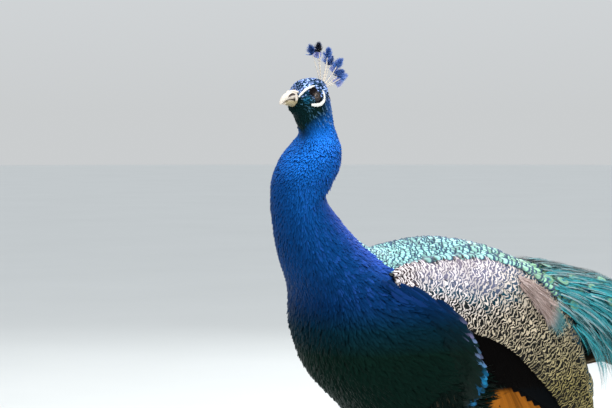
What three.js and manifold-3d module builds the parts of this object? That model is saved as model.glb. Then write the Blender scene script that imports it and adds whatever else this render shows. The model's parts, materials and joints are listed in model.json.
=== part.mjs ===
// Indian peafowl, adult male, standing, life size. Millimetres, +Z up.
// The bird faces -Y and its left side is +X. Tables below hold "forward" distances,
// measured from between the feet towards the bill, so y = -forward.
import * as THREE from 'three';
import { mergeVertices } from 'three/addons/utils/BufferGeometryUtils.js';
import Module from 'manifold-3d';

// ---- driving dimensions -------------------------------------------------
const GAP = 0.3;                 // clearance between touching solids
const ROUNDNESS = 2.2;           // superellipse power of every body section
const EYE_RADIUS = 7.0;
const EYE_SIDE = 14.6;           // eyeball centre, out from the middle plane
const EYE_FORWARD = 241.5;
const EYE_HEIGHT = 821.5;
const WING_RAISE = 7.0;          // barred coverts stand this far outside the wing shell
const WING_LAYER = 3.7;          // thickness of the coverts' margin and of each lower layer
const HIP_SIDE = 50.0;
const HEEL_SIDE = 60.0;
const FOOT_SIDE = 66.0;
const FOOT_STAGGER = 14.0;       // left foot forward, right foot back, by this much
const TOE_SCALE = 1.0;
const SPUR_LENGTH = 21.0;
const CREST_COUNT = 11;          // shafts in the fan on the crown
const CREST_LENGTH = 48.0;       // longest bare shaft; its tip adds 12
const CREST_ROOT = [214.0, 836.0];
const TRAIN_LOBES = 8;           // feather tips along each side of the train's end

// Sections of head, neck and trunk:
// back forward, back height, front forward, front height, half width.
const BODY = [
  [274.0, 828.0, 275.0, 805.0, 8.0],
  [262.0, 843.0, 274.0, 800.0, 14.5],
  [238.0, 849.0, 271.0, 796.5, 18.4],
  [217.5, 845.0, 266.4, 792.0, 21.4],
  [208.0, 830.0, 262.5, 785.0, 21.8],
  [202.4, 808.0, 256.5, 775.0, 22.5],
  [198.8, 780.0, 254.5, 762.0, 26.9],
  [191.3, 750.0, 280.3, 732.0, 41.9],
  [193.7, 724.0, 296.1, 702.0, 47.5],
  [207.2, 703.0, 299.3, 670.0, 47.7],
  [223.8, 680.0, 294.9, 635.0, 47.1],
  [204.5, 650.0, 281.4, 585.0, 54.6],
  [166.5, 612.5, 251.7, 525.0, 72.0],
  [116.0, 592.0, 240.5, 465.0, 90.0],
  [65.0, 598.5, 212.6, 405.0, 104.0],
  [10.0, 606.1, 161.7, 355.0, 112.0],
  [-50.0, 603.3, 111.9, 320.0, 115.0],
  [-120.0, 590.5, 16.0, 306.0, 112.0],
  [-190.0, 568.3, -85.0, 314.0, 104.0],
  [-270.0, 551.9, -198.0, 348.0, 95.0],
  [-360.0, 531.6, -318.0, 390.0, 90.0],
  [-450.0, 499.1, -428.0, 412.0, 95.0],
  [-600.0, 445.0, -586.0, 379.0, 112.0],
  [-800.0, 362.0, -790.0, 300.0, 143.0],
  [-1000.0, 274.0, -992.0, 214.0, 171.0],
  [-1200.0, 182.0, -1194.0, 125.0, 196.0],
  [-1370.0, 104.0, -1362.0, 54.0, 214.0],
  [-1500.0, 62.0, -1492.0, 14.0, 219.0],
  [-1600.0, 42.0, -1594.0, -1.5, 208.0],
  [-1680.0, 28.0, -1676.0, -2.0, 180.0],
  [-1730.0, 18.0, -1727.0, -1.5, 126.0],
  [-1752.0, 9.0, -1751.0, 1.0, 46.0],
];

// Named stretches of the body: first section, last section, rings per section, points per ring, colour.
const STRETCHES = {
  head: [0, 6, 2, 24, 0x14508c],
  neck_upper: [6, 8, 2, 24, 0x1238a8],
  neck_middle: [8, 10, 2, 24, 0x1238a8],
  neck_lower: [10, 12, 2, 24, 0x1238a8],
  breast: [12, 15, 2, 26, 0x0f3f8c],
  trunk: [15, 18, 1, 26, 0x2f8f78],
  rump: [18, 20, 1, 26, 0x2f8f6a],
  train_base: [20, 23, 1, 24, 0x2c8a5c],
  train_middle: [23, 25, 1, 24, 0x35803c],
  train_end: [25, 31, 1, 22, 0x4a7a2c],
};

// Bill, in the same section form.
const BILL_UPPER = [
  [258.0, 832.0, 256.0, 815.0, 9.5],
  [268.0, 831.5, 265.0, 815.8, 9.4],
  [277.0, 829.6, 274.0, 816.6, 8.0],
  [283.5, 827.0, 281.0, 816.6, 6.6],
  [289.5, 823.6, 287.0, 814.6, 5.2],
  [294.6, 818.5, 291.6, 811.6, 3.7],
  [297.6, 813.0, 294.8, 809.4, 2.2],
  [298.2, 809.8, 296.6, 808.4, 0.9],
];
const BILL_LOWER = [
  [258.0, 814.2, 256.0, 802.5, 8.6],
  [268.0, 815.0, 268.0, 805.0, 8.0],
  [281.0, 815.8, 281.0, 807.4, 6.2],
  [287.0, 813.6, 287.0, 808.6, 4.4],
  [291.5, 810.6, 291.5, 809.2, 1.8],
];

// Tail quills proper, a fan under the train.
const TAIL = [
  [-330.0, 391.4, -328.0, 378.0, 34.0],
  [-428.0, 411.2, -426.0, 392.0, 60.0],
  [-586.0, 378.2, -583.0, 362.0, 84.0],
  [-700.0, 334.0, -698.0, 321.0, 92.0],
  [-738.0, 319.0, -737.0, 313.0, 70.0],
];

// Wing shell: forward, half width, centre height, half height.
const SHELL = [
  [-340.0, 72.0, 400.0, 150.0],
  [-280.0, 86.0, 418.0, 152.0],
  [-200.0, 101.0, 438.0, 152.0],
  [-120.0, 113.0, 453.0, 150.0],
  [-50.0, 117.0, 462.0, 149.0],
  [10.0, 116.0, 470.0, 146.0],
  [70.0, 112.0, 480.0, 136.0],
  [120.0, 104.0, 500.0, 112.0],
  [160.0, 94.0, 515.0, 95.0],
];

// Wing layers: upper edge forward and height, lower edge forward and height.
const COVERTS = [
  [153.0, 556.0, 150.0, 538.0],
  [125.0, 568.0, 120.0, 511.0],
  [75.0, 576.0, 65.0, 493.0],
  [20.0, 578.0, 5.0, 470.0],
  [-40.0, 575.0, -55.0, 452.0],
  [-95.0, 564.0, -110.0, 422.0],
  [-145.0, 544.0, -155.0, 393.0],
  [-190.0, 510.0, -205.0, 362.0],
  [-235.0, 460.0, -250.0, 331.0],
  [-275.0, 402.0, -285.0, 310.0],
  [-302.0, 346.0, -305.0, 309.0],
];
const SECONDARIES = [
  [14.0, 482.0, 8.0, 446.0],
  [-18.0, 476.0, -28.0, 406.0],
  [-66.0, 460.0, -82.0, 376.0],
  [-126.0, 428.0, -148.0, 348.0],
  [-190.0, 384.0, -214.0, 321.0],
  [-256.0, 338.0, -280.0, 304.0],
  [-312.0, 318.0, -318.0, 302.0],
];
const PRIMARIES = [
  [-22.0, 412.0, -32.0, 366.0],
  [-76.0, 388.0, -90.0, 338.0],
  [-140.0, 358.0, -156.0, 312.0],
  [-206.0, 332.0, -222.0, 297.0],
  [-274.0, 313.0, -288.0, 288.0],
  [-334.0, 300.0, -342.0, 286.0],
];

// ---- solid helpers ------------------------------------------------------
const wasm = await Module();
wasm.setup();

function signedVolume(position, index) {
  const a = new THREE.Vector3();
  const b = new THREE.Vector3();
  const c = new THREE.Vector3();
  let volume = 0;
  for (let i = 0; i < index.count; i += 3) {
    a.fromBufferAttribute(position, index.getX(i));
    b.fromBufferAttribute(position, index.getX(i + 1));
    c.fromBufferAttribute(position, index.getX(i + 2));
    volume += a.dot(b.clone().cross(c)) / 6;
  }
  return volume;
}

function toSolid(geometry) {
  let g = geometry.clone();
  g.deleteAttribute('normal');
  g.deleteAttribute('uv');
  g = mergeVertices(g, 1e-4);
  const index = Uint32Array.from(g.index.array);
  if (signedVolume(g.attributes.position, g.index) < 0) {
    for (let i = 0; i < index.length; i += 3) {
      [index[i + 1], index[i + 2]] = [index[i + 2], index[i + 1]];
    }
  }
  const vertProperties = Float32Array.from(g.attributes.position.array);
  return new wasm.Manifold(new wasm.Mesh({ numProp: 3, vertProperties, triVerts: index }));
}

function fromSolid(solid) {
  const data = solid.getMesh();
  const g = new THREE.BufferGeometry();
  g.setAttribute('position', new THREE.BufferAttribute(Float32Array.from(data.vertProperties), 3));
  g.setIndex(new THREE.BufferAttribute(Uint32Array.from(data.triVerts), 1));
  return g;
}

// Closed skin through rings of equal point count, capped by a fan at each end.
function skinRings(rings) {
  const k = rings[0].length;
  const points = rings.flat();
  const index = [];
  for (let i = 0; i < rings.length - 1; i += 1) {
    for (let j = 0; j < k; j += 1) {
      const a = i * k + j;
      const b = i * k + ((j + 1) % k);
      index.push(a, b, b + k, a, b + k, a + k);
    }
  }
  const first = points.length;
  points.push(centroid(rings[0]));
  points.push(centroid(rings[rings.length - 1]));
  const last = (rings.length - 1) * k;
  for (let j = 0; j < k; j += 1) {
    const n = (j + 1) % k;
    index.push(first, n, j);
    index.push(first + 1, last + j, last + n);
  }
  const g = new THREE.BufferGeometry();
  g.setFromPoints(points);
  g.setIndex(index);
  return toSolid(g);
}

function centroid(ring) {
  const c = new THREE.Vector3();
  ring.forEach((p) => c.add(p));
  return c.divideScalar(ring.length);
}

// Smooth interpolation through a table of rows.
function tableAt(table, s) {
  const n = table.length - 1;
  const i = Math.min(Math.max(Math.floor(s), 0), n - 1);
  const t = s - i;
  const rows = [table[Math.max(i - 1, 0)], table[i], table[i + 1], table[Math.min(i + 2, n)]];
  if (i === 0) rows[0] = table[0].map((v, c) => 2 * v - table[1][c]);
  if (i === n - 1) rows[3] = table[n].map((v, c) => 2 * v - table[n - 1][c]);
  return table[i].map((_, c) => {
    const [a, b, d, e] = rows.map((r) => r[c]);
    const quad = 2 * a - 5 * b + 4 * d - e;
    const cube = -a + 3 * b - 3 * d + e;
    return 0.5 * (2 * b + (d - a) * t + quad * t * t + cube * t * t * t);
  });
}

// One section ring: a superellipse spanned by the back-to-front line and the width.
function sectionRing(table, s, k, grow = 0, slide = 0) {
  const [bf, bz, ff, fz, w] = tableAt(table, s);
  const centre = new THREE.Vector3(0, -(bf + ff) / 2, (bz + fz) / 2);
  const half = new THREE.Vector3(0, -(bf - ff) / 2, (bz - fz) / 2);
  const reach = half.length();
  const along = new THREE.Vector3(1, 0, 0).cross(half).normalize();
  const ring = [];
  for (let j = 0; j < k; j += 1) {
    const a = (2 * Math.PI * j) / k;
    const c = Math.cos(a);
    const d = Math.sin(a);
    const u = Math.sign(c) * Math.abs(c) ** (2 / ROUNDNESS);
    const v = Math.sign(d) * Math.abs(d) ** (2 / ROUNDNESS);
    const p = centre.clone().addScaledVector(half, u * (1 + grow / reach));
    p.x += v * (w + grow);
    ring.push(p.addScaledVector(along, slide));
  }
  return ring;
}

function sectionSolid(table, s0, s1, steps, k, grow = 0, open0 = GAP / 2, open1 = GAP / 2) {
  const count = Math.max(1, Math.round((s1 - s0) * steps));
  const rings = [];
  const a = sectionRing(table, s0, k);
  const b = sectionRing(table, s0 + 0.2, k);
  const step = centroid(b).sub(centroid(a));
  const sense = Math.sign(step.dot(alongOf(table, s0)));
  for (let i = 0; i <= count; i += 1) {
    const s = s0 + ((s1 - s0) * i) / count;
    let slide = 0;
    if (i === 0) slide = sense * open0;
    if (i === count) slide = -sense * open1;
    rings.push(sectionRing(table, s, k, grow, slide));
  }
  return skinRings(rings);
}

function grownStretch(name) {
  const [s0, s1, steps, k] = STRETCHES[name];
  return sectionSolid(BODY, s0, s1, steps, k, GAP, -1, -1);
}

function alongOf(table, s) {
  const [bf, bz, ff, fz] = tableAt(table, s);
  const half = new THREE.Vector3(0, -(bf - ff) / 2, (bz - fz) / 2);
  return new THREE.Vector3(1, 0, 0).cross(half).normalize();
}

// Round tube through points with a radius at each; flat squashes it across its side axis.
function tube(points, radii, k, flat = 1, side = new THREE.Vector3(1, 0, 0)) {
  const rings = points.map((p, i) => {
    const before = points[Math.max(i - 1, 0)];
    const after = points[Math.min(i + 1, points.length - 1)];
    const t = after.clone().sub(before).normalize();
    const u = side.clone().addScaledVector(t, -side.dot(t)).normalize();
    const v = t.clone().cross(u);
    const ring = [];
    for (let j = 0; j < k; j += 1) {
      const a = (2 * Math.PI * j) / k;
      const q = p.clone().addScaledVector(u, radii[i] * flat * Math.cos(a));
      ring.push(q.addScaledVector(v, radii[i] * Math.sin(a)));
    }
    return ring;
  });
  return skinRings(rings);
}

function at(side, forward, height) {
  return new THREE.Vector3(side, -forward, height);
}

function ball(radius, centre, across = 11, down = 7) {
  const g = new THREE.SphereGeometry(radius, across, down);
  g.translate(centre.x, centre.y, centre.z);
  return toSolid(g);
}

function joined(list) {
  return list.reduce((a, b) => a.add(b));
}

function mirrored(solid) {
  const g = fromSolid(solid);
  g.scale(-1, 1, 1);
  return toSolid(g);
}

function aboveFloor(solid) {
  const slab = new THREE.BoxGeometry(1200, 3000, 400);
  slab.translate(0, 500, -200);
  return solid.subtract(toSolid(slab));
}

// ---- wings --------------------------------------------------------------
function shellSide(forward, height) {
  let i = 0;
  while (i < SHELL.length - 2 && forward > SHELL[i + 1][0]) i += 1;
  const [f0, w0, c0, h0] = SHELL[i];
  const [f1, w1, c1, h1] = SHELL[i + 1];
  const t = Math.min(Math.max((forward - f0) / (f1 - f0), 0), 1);
  const w = w0 + (w1 - w0) * t;
  const q = Math.abs((height - (c0 + (c1 - c0) * t)) / (h0 + (h1 - h0) * t));
  return w * Math.max(1 - q ** ROUNDNESS, 0.04) ** (1 / ROUNDNESS);
}

// A slab following the wing shell between two edges; out and inner are distances from the shell.
function wingLayer(edges, steps, rows, out, inner, grow = 0) {
  const count = (edges.length - 1) * steps;
  const rings = [];
  for (let i = 0; i <= count; i += 1) {
    const [uf, uz, lf, lz] = tableAt(edges, i / steps);
    const edge = Math.min(1, Math.min(i, count - i) / steps);
    const outer = [];
    const inside = [];
    for (let j = 0; j <= rows; j += 1) {
      const t = (-grow / 60) + (1 + grow / 30) * (j / rows);
      const push = i === 0 ? grow : i === count ? -grow : 0;
      const f = uf + (lf - uf) * t + push;
      const z = uz + (lz - uz) * t;
      const x = shellSide(f, z);
      const middle = edge * Math.sin(Math.PI * (j / rows)) ** 0.5;
      outer.push(at(x + out(middle) + grow, f, z));
      inside.push(at(x + inner - grow, f, z));
    }
    rings.push(outer.concat(inside.reverse()));
  }
  return skinRings(rings);
}

const covertsOut = (m) => WING_LAYER - 0.7 + (WING_RAISE - WING_LAYER) * m;
const secondariesOut = () => -1.0;
const primariesOut = () => -1.0 - WING_LAYER - GAP;
const covertsIn = -0.7;
const secondariesIn = -1.0 - WING_LAYER;
const primariesIn = -1.0 - 2 * WING_LAYER - GAP;

function wingSet() {
  const covertsL = wingLayer(COVERTS, 1, 5, covertsOut, covertsIn);
  const covertsRoom = wingLayer(COVERTS, 1, 5, covertsOut, covertsIn, GAP);
  const secondariesRoom = wingLayer(SECONDARIES, 1, 3, secondariesOut, secondariesIn, GAP);
  const under = wingLayer(SECONDARIES, 1, 3, secondariesOut, secondariesIn);
  const secondariesL = under.subtract(covertsRoom);
  const deepest = wingLayer(PRIMARIES, 1, 3, primariesOut, primariesIn);
  const primariesL = deepest.subtract(covertsRoom).subtract(secondariesRoom);
  const clear = () => 40;
  const cut = joined([
    wingLayer(COVERTS, 1, 5, clear, covertsIn, GAP),
    wingLayer(SECONDARIES, 1, 3, clear, secondariesIn, GAP),
    wingLayer(PRIMARIES, 1, 3, clear, primariesIn, GAP),
  ]);
  return { covertsL, secondariesL, primariesL, cut };
}

// ---- legs ---------------------------------------------------------------
function thighSolid(step) {
  const points = [
    at(HIP_SIDE, 40, 430),
    at(HIP_SIDE + 1, 38, 385),
    at(HIP_SIDE + 3, 28, 330),
    at(HIP_SIDE + 6, 10 + step * 0.3, 270),
    at(HIP_SIDE + 8, -10 + step * 0.6, 215),
    at(HEEL_SIDE, -24 + step, 176),
    at(HEEL_SIDE, -29 + step, 160),
  ];
  return tube(points, [30, 46, 46, 36, 23, 13.5, 10], 14);
}

function shankSolid(step) {
  const points = [
    at(HEEL_SIDE, -31 + step, 172),
    at(HEEL_SIDE, -32 + step, 158),
    at(HEEL_SIDE + 0.5, -30 + step, 142),
    at(HEEL_SIDE + 2, -18 + step, 96),
    at(HEEL_SIDE + 4, -4 + step, 44),
    at(FOOT_SIDE, 4 + step, 22),
    at(FOOT_SIDE, 7 + step, 12),
  ];
  const leg = tube(points, [6, 9, 7.4, 6.0, 6.4, 8.2, 7], 8);
  const spur = [
    at(HEEL_SIDE + 2.5, -12 + step, 74),
    at(HEEL_SIDE + 0.5, -12 - SPUR_LENGTH * 0.5 + step, 77),
    at(HEEL_SIDE - 2.5, -12 - SPUR_LENGTH + step, 86),
  ];
  return leg.add(tube(spur, [4.6, 3.2, 0.5], 6));
}

// One toe: pads as swellings along the length, then a curved claw.
function toeSolid(root, heading, length, radius, claw) {
  const dir = new THREE.Vector3(Math.sin(heading), -Math.cos(heading), 0);
  const points = [];
  const radii = [];
  const pads = 3;
  for (let i = 0; i <= pads; i += 1) {
    const t = i / pads;
    const r = radius * (1 - 0.38 * t) * (i % 2 ? 1.06 : 0.92);
    const p = root.clone().addScaledVector(dir, length * t);
    p.z = root.z * (1 - t) ** 2 + (r - 0.5) * (1 - (1 - t) ** 2);
    points.push(p);
    radii.push(r);
  }
  const tip = points[pads];
  const clawPoints = [
    tip.clone().addScaledVector(dir, -3).setZ(tip.z + 0.4),
    tip.clone().addScaledVector(dir, claw * 0.45).setZ(tip.z + 1.2),
    tip.clone().addScaledVector(dir, claw).setZ(0.9),
  ];
  return tube(points, radii, 6).add(tube(clawPoints, [radius * 0.55, radius * 0.4, 0.5], 4));
}

function footSolid(step) {
  const base = at(FOOT_SIDE, 8 + step, 9);
  const rad = (d) => (d * Math.PI) / 180;
  const s = TOE_SCALE;
  const middle = toeSolid(base, rad(3), 72 * s, 6.6, 16);
  const inner = toeSolid(base, rad(-34), 48 * s, 5.8, 14);
  const outer = toeSolid(base, rad(36), 54 * s, 5.8, 13);
  const heel = at(FOOT_SIDE - 2, 0 + step, 9);
  const hind = toeSolid(heel, rad(-158), 26 * s, 4.8, 11);
  return aboveFloor(joined([middle, inner, outer, hind, ball(9.5, at(FOOT_SIDE, 6 + step, 9), 8, 5)]));
}

// ---- crest --------------------------------------------------------------
function crestSolid() {
  const [rootF, rootZ] = CREST_ROOT;
  const along = [[8, 7], [3, 7], [-5, 1], [-11, -8]];
  const mound = along.map(([f, z]) => at(0, rootF + f, rootZ + z));
  const pieces = [tube(mound, [2.5, 5, 5, 2.5], 8)];
  for (let i = 0; i < CREST_COUNT; i += 1) {
    const t = i / (CREST_COUNT - 1);
    const lean = (20 - 96 * t) * (Math.PI / 180);
    const length = CREST_LENGTH * (1 - 0.3 * t) - 4 * Math.abs(Math.sin(i * 2.1));
    const splay = 0.17 * Math.sin(i * 2.4);
    const dir = at(splay, Math.sin(lean), Math.cos(lean)).normalize();
    const root = at(0, rootF + 3 - 7 * t, rootZ + 4 - 6 * t);
    const end = root.clone().addScaledVector(dir, length);
    pieces.push(tube([root, end], [0.7, 0.6], 4));
    const across = new THREE.Vector3(1, 0, 0);
    const vane = [0.0, 0.55, 1.0].map((q) => end.clone().addScaledVector(dir, -3 + 15 * q));
    pieces.push(tube(vane, [0.9, 5.2, 2.6], 6, 0.32, across));
  }
  return joined(pieces);
}

// ---- train --------------------------------------------------------------
// Feather tips spread round the rear margin of the train.
function trainTips() {
  const tips = [];
  const up = new THREE.Vector3(0, 0, 1);
  for (let i = 0; i < TRAIN_LOBES; i += 1) {
    const s = 26.7 + 4.3 * (i / (TRAIN_LOBES - 1)) ** 0.85;
    const [bf, bz, ff, fz, w] = tableAt(BODY, s);
    const [bf0, bz0, ff0, fz0, w0] = tableAt(BODY, s - 0.3);
    const run = (bf0 + ff0 - bf - ff) / 2;
    const slope = (bz0 + fz0 - bz - fz) / 2 / run;
    const open = Math.atan2(w0 - w, run);
    const turn = 0.30 + 0.5 * (open > 0 ? -open * 0.25 : 0) - 0.28 * (i / (TRAIN_LOBES - 1));
    const reach = (i % 2 ? 56 : 40);
    for (const side of i === TRAIN_LOBES - 1 ? [0] : [-1, 1]) {
      const out = new THREE.Vector3(side * Math.sin(turn), Math.cos(turn), -slope).normalize();
      const root = at(side * (w - 15), (bf + ff) / 2, Math.max((bz + fz) / 2, 4.5));
      const points = [-0.9, 0.1, 0.7, 1.0].map((q) => root.clone().addScaledVector(out, q * reach));
      tips.push(tube(points, [15, 23, 17, 4], 5, 0.22, up));
    }
  }
  return tips;
}

// ---- assembly -----------------------------------------------------------
const group = new THREE.Group();
group.name = 'peacock';
const [body, face, wingGroup, trainGroup, legs] = ['body', 'face', 'wings', 'train', 'legs'].map((name) => {
  const branch = new THREE.Group();
  branch.name = `${name}_group`;
  group.add(branch);
  return branch;
});

function addNode(parent, name, solid, color, roughness = 0.55, metalness = 0.1) {
  const material = new THREE.MeshStandardMaterial({ color, roughness, metalness });
  const mesh = new THREE.Mesh(fromSolid(solid), material);
  mesh.name = name;
  parent.add(mesh);
}

function addPair(parent, name, solid, color, roughness) {
  addNode(parent, `${name}_left`, solid, color, roughness);
  addNode(parent, `${name}_right`, mirrored(solid), color, roughness);
}

const wings = wingSet();
const wingCuts = wings.cut.add(mirrored(wings.cut));

const billUpper = sectionSolid(BILL_UPPER, 0, 7, 1, 14, 0, 0, 0);
const billLower = sectionSolid(BILL_LOWER, 0, 4, 1, 12, 0, 0, 0);
const billRoom = sectionSolid(BILL_UPPER, 0, 7, 1, 14, GAP, -GAP, -GAP)
  .add(sectionSolid(BILL_LOWER, 0, 4, 1, 12, GAP, -GAP, -GAP));
const eye = ball(EYE_RADIUS, at(EYE_SIDE, EYE_FORWARD, EYE_HEIGHT));
const eyeRoom = ball(EYE_RADIUS + GAP, at(EYE_SIDE, EYE_FORWARD, EYE_HEIGHT));
const bodyGrown = joined(['breast', 'trunk', 'rump', 'train_base'].map((name) => grownStretch(name)));
const headGrown = grownStretch('head');

for (const [name, [s0, s1, steps, k, color]] of Object.entries(STRETCHES)) {
  let solid = sectionSolid(BODY, s0, s1, steps, k);
  if (name === 'head') solid = solid.subtract(billRoom).subtract(eyeRoom).subtract(mirrored(eyeRoom));
  if (['breast', 'trunk', 'rump'].includes(name)) solid = solid.subtract(wingCuts);
  if (name === 'train_end') solid = aboveFloor(joined([solid, ...trainTips()]));
  addNode(name.startsWith('train') ? trainGroup : body, name, solid, color, 0.4, 0.4);
}

addNode(face, 'bill_upper', billUpper, 0xb9b3a4);
addNode(face, 'bill_lower', billLower, 0xa8a294);
addPair(face, 'eye', eye, 0x3a1d0c, 0.08);
addNode(face, 'crest', crestSolid().subtract(headGrown), 0x1d4f9e);
addPair(wingGroup, 'wing_coverts', wings.covertsL, 0xb8a684, 0.7);
addPair(wingGroup, 'wing_secondaries', wings.secondariesL, 0x14161c, 0.5);
addPair(wingGroup, 'wing_primaries', wings.primariesL, 0x9a4f22, 0.6);
addNode(trainGroup, 'tail', sectionSolid(TAIL, 0, 4, 1, 16, 0, 0, 0), 0x5a4630);

for (const side of [1, -1]) {
  const step = side * FOOT_STAGGER;
  const label = side > 0 ? 'left' : 'right';
  const place = (solid) => (side > 0 ? solid : mirrored(solid));
  const thigh = thighSolid(step);
  const shank = shankSolid(step);
  addNode(legs, `thigh_${label}`, place(thigh.subtract(bodyGrown).subtract(wings.cut)), 0xc9b48c);
  addNode(legs, `shank_${label}`, place(shank.subtract(thighRoom(step))), 0x8a8478);
  addNode(legs, `foot_${label}`, place(footSolid(step).subtract(shankRoom(step))), 0x7d776b);
}

function thighRoom(step) {
  return thighSolid(step).add(ball(10.6, at(HEEL_SIDE, -28.6 + step, 161), 12, 8));
}

function shankRoom(step) {
  const points = [
    at(HEEL_SIDE + 4, -4 + step, 44),
    at(FOOT_SIDE, 4 + step, 22),
    at(FOOT_SIDE, 7 + step, 12),
    at(FOOT_SIDE, 7.1 + step, 11.7),
  ];
  return tube(points, [6.7, 8.5, 7.3, 7.3], 8);
}

// Origin at the middle of the footprint, on the floor.
const box = new THREE.Box3().setFromObject(group);
const middle = box.getCenter(new THREE.Vector3());
group.position.set(-middle.x, -middle.y, -box.min.z);
group.updateMatrixWorld(true);

export default group;
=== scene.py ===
"""Feathers, skin, horn and scales of a life-size Indian peafowl cock, standing still."""

import json
import math

import bpy
import numpy as np
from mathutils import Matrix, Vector
from mathutils.bvhtree import BVHTree

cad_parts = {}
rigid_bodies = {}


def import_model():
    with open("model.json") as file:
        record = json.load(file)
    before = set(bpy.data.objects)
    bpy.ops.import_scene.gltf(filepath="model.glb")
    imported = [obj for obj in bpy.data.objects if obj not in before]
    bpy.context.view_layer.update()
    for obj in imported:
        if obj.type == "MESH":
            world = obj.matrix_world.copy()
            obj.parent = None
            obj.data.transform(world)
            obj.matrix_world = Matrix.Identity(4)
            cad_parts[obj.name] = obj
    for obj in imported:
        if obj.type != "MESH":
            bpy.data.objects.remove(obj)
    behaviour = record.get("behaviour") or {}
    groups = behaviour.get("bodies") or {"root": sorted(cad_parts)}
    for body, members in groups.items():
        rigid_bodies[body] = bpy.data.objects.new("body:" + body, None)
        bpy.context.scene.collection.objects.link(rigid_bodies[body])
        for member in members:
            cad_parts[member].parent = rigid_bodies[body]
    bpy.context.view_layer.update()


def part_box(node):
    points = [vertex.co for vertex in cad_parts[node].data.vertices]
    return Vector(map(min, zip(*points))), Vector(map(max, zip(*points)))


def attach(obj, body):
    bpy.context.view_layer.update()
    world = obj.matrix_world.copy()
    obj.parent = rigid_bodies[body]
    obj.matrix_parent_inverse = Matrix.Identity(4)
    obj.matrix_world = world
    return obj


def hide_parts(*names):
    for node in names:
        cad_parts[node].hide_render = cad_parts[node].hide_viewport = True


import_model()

bl_info = {
    "name": "Peafowl Cock Plumage",
    "version": (1, 0, 0),
    "blender": (4, 5, 0),
    "location": "3D View > Sidebar > Peafowl",
    "description": "Builds the plumage, skin, bill, eyes and legs of a standing peafowl cock",
    "category": "Object",
}

SEED = 41

# ---- the bird's own forms, in millimetres: side, forward and height -------------

EYE_SIDE, EYE_FORWARD, EYE_HEIGHT, EYE_RADIUS = 14.6, 241.5, 821.5, 7.0
EYE_LOW, EYE_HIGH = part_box("eye_left")
SHIFT_Y = (EYE_LOW.y + EYE_HIGH.y) / 2 + EYE_FORWARD / 1000
SHIFT_Z = (EYE_LOW.z + EYE_HIGH.z) / 2 - EYE_HEIGHT / 1000

# Sections from the brow back to the train's end: back forward, back height,
# front forward, front height, half width.
BODY = np.array([
    (274, 828, 275, 805, 8), (262, 843, 274, 800, 14.5), (238, 849, 271, 796.5, 18.4),
    (217.5, 845, 266.4, 792, 21.4), (208, 830, 262.5, 785, 21.8),
    (202.4, 808, 256.5, 775, 22.5), (198.8, 780, 254.5, 762, 26.9),
    (191.3, 750, 280.3, 732, 41.9), (193.7, 724, 296.1, 702, 47.5),
    (207.2, 703, 299.3, 670, 47.7), (223.8, 680, 294.9, 635, 47.1),
    (204.5, 650, 281.4, 585, 54.6), (166.5, 612.5, 251.7, 525, 72),
    (116, 592, 240.5, 465, 90), (65, 598.5, 212.6, 405, 104), (10, 606.1, 161.7, 355, 112),
    (-50, 603.3, 111.9, 320, 115), (-120, 590.5, 16, 306, 112),
    (-190, 568.3, -85, 314, 104), (-270, 551.9, -198, 348, 95),
    (-360, 531.6, -318, 390, 90), (-450, 499.1, -428, 412, 95), (-600, 445, -586, 379, 112),
    (-800, 362, -790, 300, 143), (-1000, 274, -992, 214, 171), (-1200, 182, -1194, 125, 196),
    (-1370, 104, -1362, 54, 214), (-1500, 62, -1492, 14, 219), (-1600, 42, -1594, -1.5, 208),
    (-1680, 28, -1676, -2, 180), (-1730, 18, -1727, -1.5, 126), (-1752, 9, -1751, 1, 46),
])
LAST = len(BODY) - 1
BILL_UPPER = np.array([
    (258, 832, 256, 815, 9.5), (268, 831.5, 265, 815.8, 9.4), (277, 829.6, 274, 816.6, 8),
    (283.5, 827, 281, 816.6, 6.6), (289.5, 823.6, 287, 814.6, 5.2), (294.6, 818.5, 291.6, 811.6, 3.7),
    (297.6, 813, 294.8, 809.4, 2.2), (298.2, 809.8, 296.6, 808.4, 0.9),
])
BILL_LOWER = np.array([
    (258, 814.2, 256, 802.5, 8.6), (268, 815, 268, 805, 8), (281, 815.8, 281, 807.4, 6.2),
    (287, 813.6, 287, 808.6, 4.4), (291.5, 810.6, 291.5, 809.2, 1.8),
])
TAIL = np.array([
    (-330, 391.4, -328, 378, 34), (-428, 411.2, -426, 392, 60), (-586, 378.2, -583, 362, 84),
    (-700, 334, -698, 321, 92), (-738, 319, -737, 313, 70),
])
# Wing shell: forward, half width, centre height, half height.
SHELL = np.array([
    (-340, 72, 400, 150), (-280, 86, 418, 152), (-200, 101, 438, 152), (-120, 113, 453, 150),
    (-50, 117, 462, 149), (10, 116, 470, 146), (70, 112, 480, 136), (120, 104, 500, 112),
    (160, 94, 515, 95),
])
# Wing layers: upper edge forward and height, lower edge forward and height.
COVERTS = np.array([
    (153, 556, 150, 538), (125, 568, 120, 511), (75, 576, 65, 493), (20, 578, 5, 470),
    (-40, 575, -55, 452), (-95, 564, -110, 422), (-145, 544, -155, 393), (-190, 510, -205, 362),
    (-235, 460, -250, 331), (-275, 402, -285, 310), (-302, 346, -305, 309),
])
SECONDARIES = np.array([
    (14, 482, 8, 446), (-18, 476, -28, 406), (-66, 460, -82, 376), (-126, 428, -148, 348),
    (-190, 384, -214, 321), (-256, 338, -280, 304), (-312, 318, -318, 302),
])
PRIMARIES = np.array([
    (-22, 412, -32, 366), (-76, 388, -90, 338), (-140, 358, -156, 312), (-206, 332, -222, 297),
    (-274, 313, -288, 288), (-334, 300, -342, 286),
])
BODY_ROUND = 2.2
HEEL_SIDE, HIP_SIDE, FOOT_SIDE, STAGGER = 60.0, 50.0, 66.0, 14.0
SIDES = ((1, "left"), (-1, "right"))
FLESH = (
    "head", "neck_upper", "neck_middle", "neck_lower", "breast", "trunk", "rump",
    "train_base", "train_middle", "train_end",
)


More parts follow.
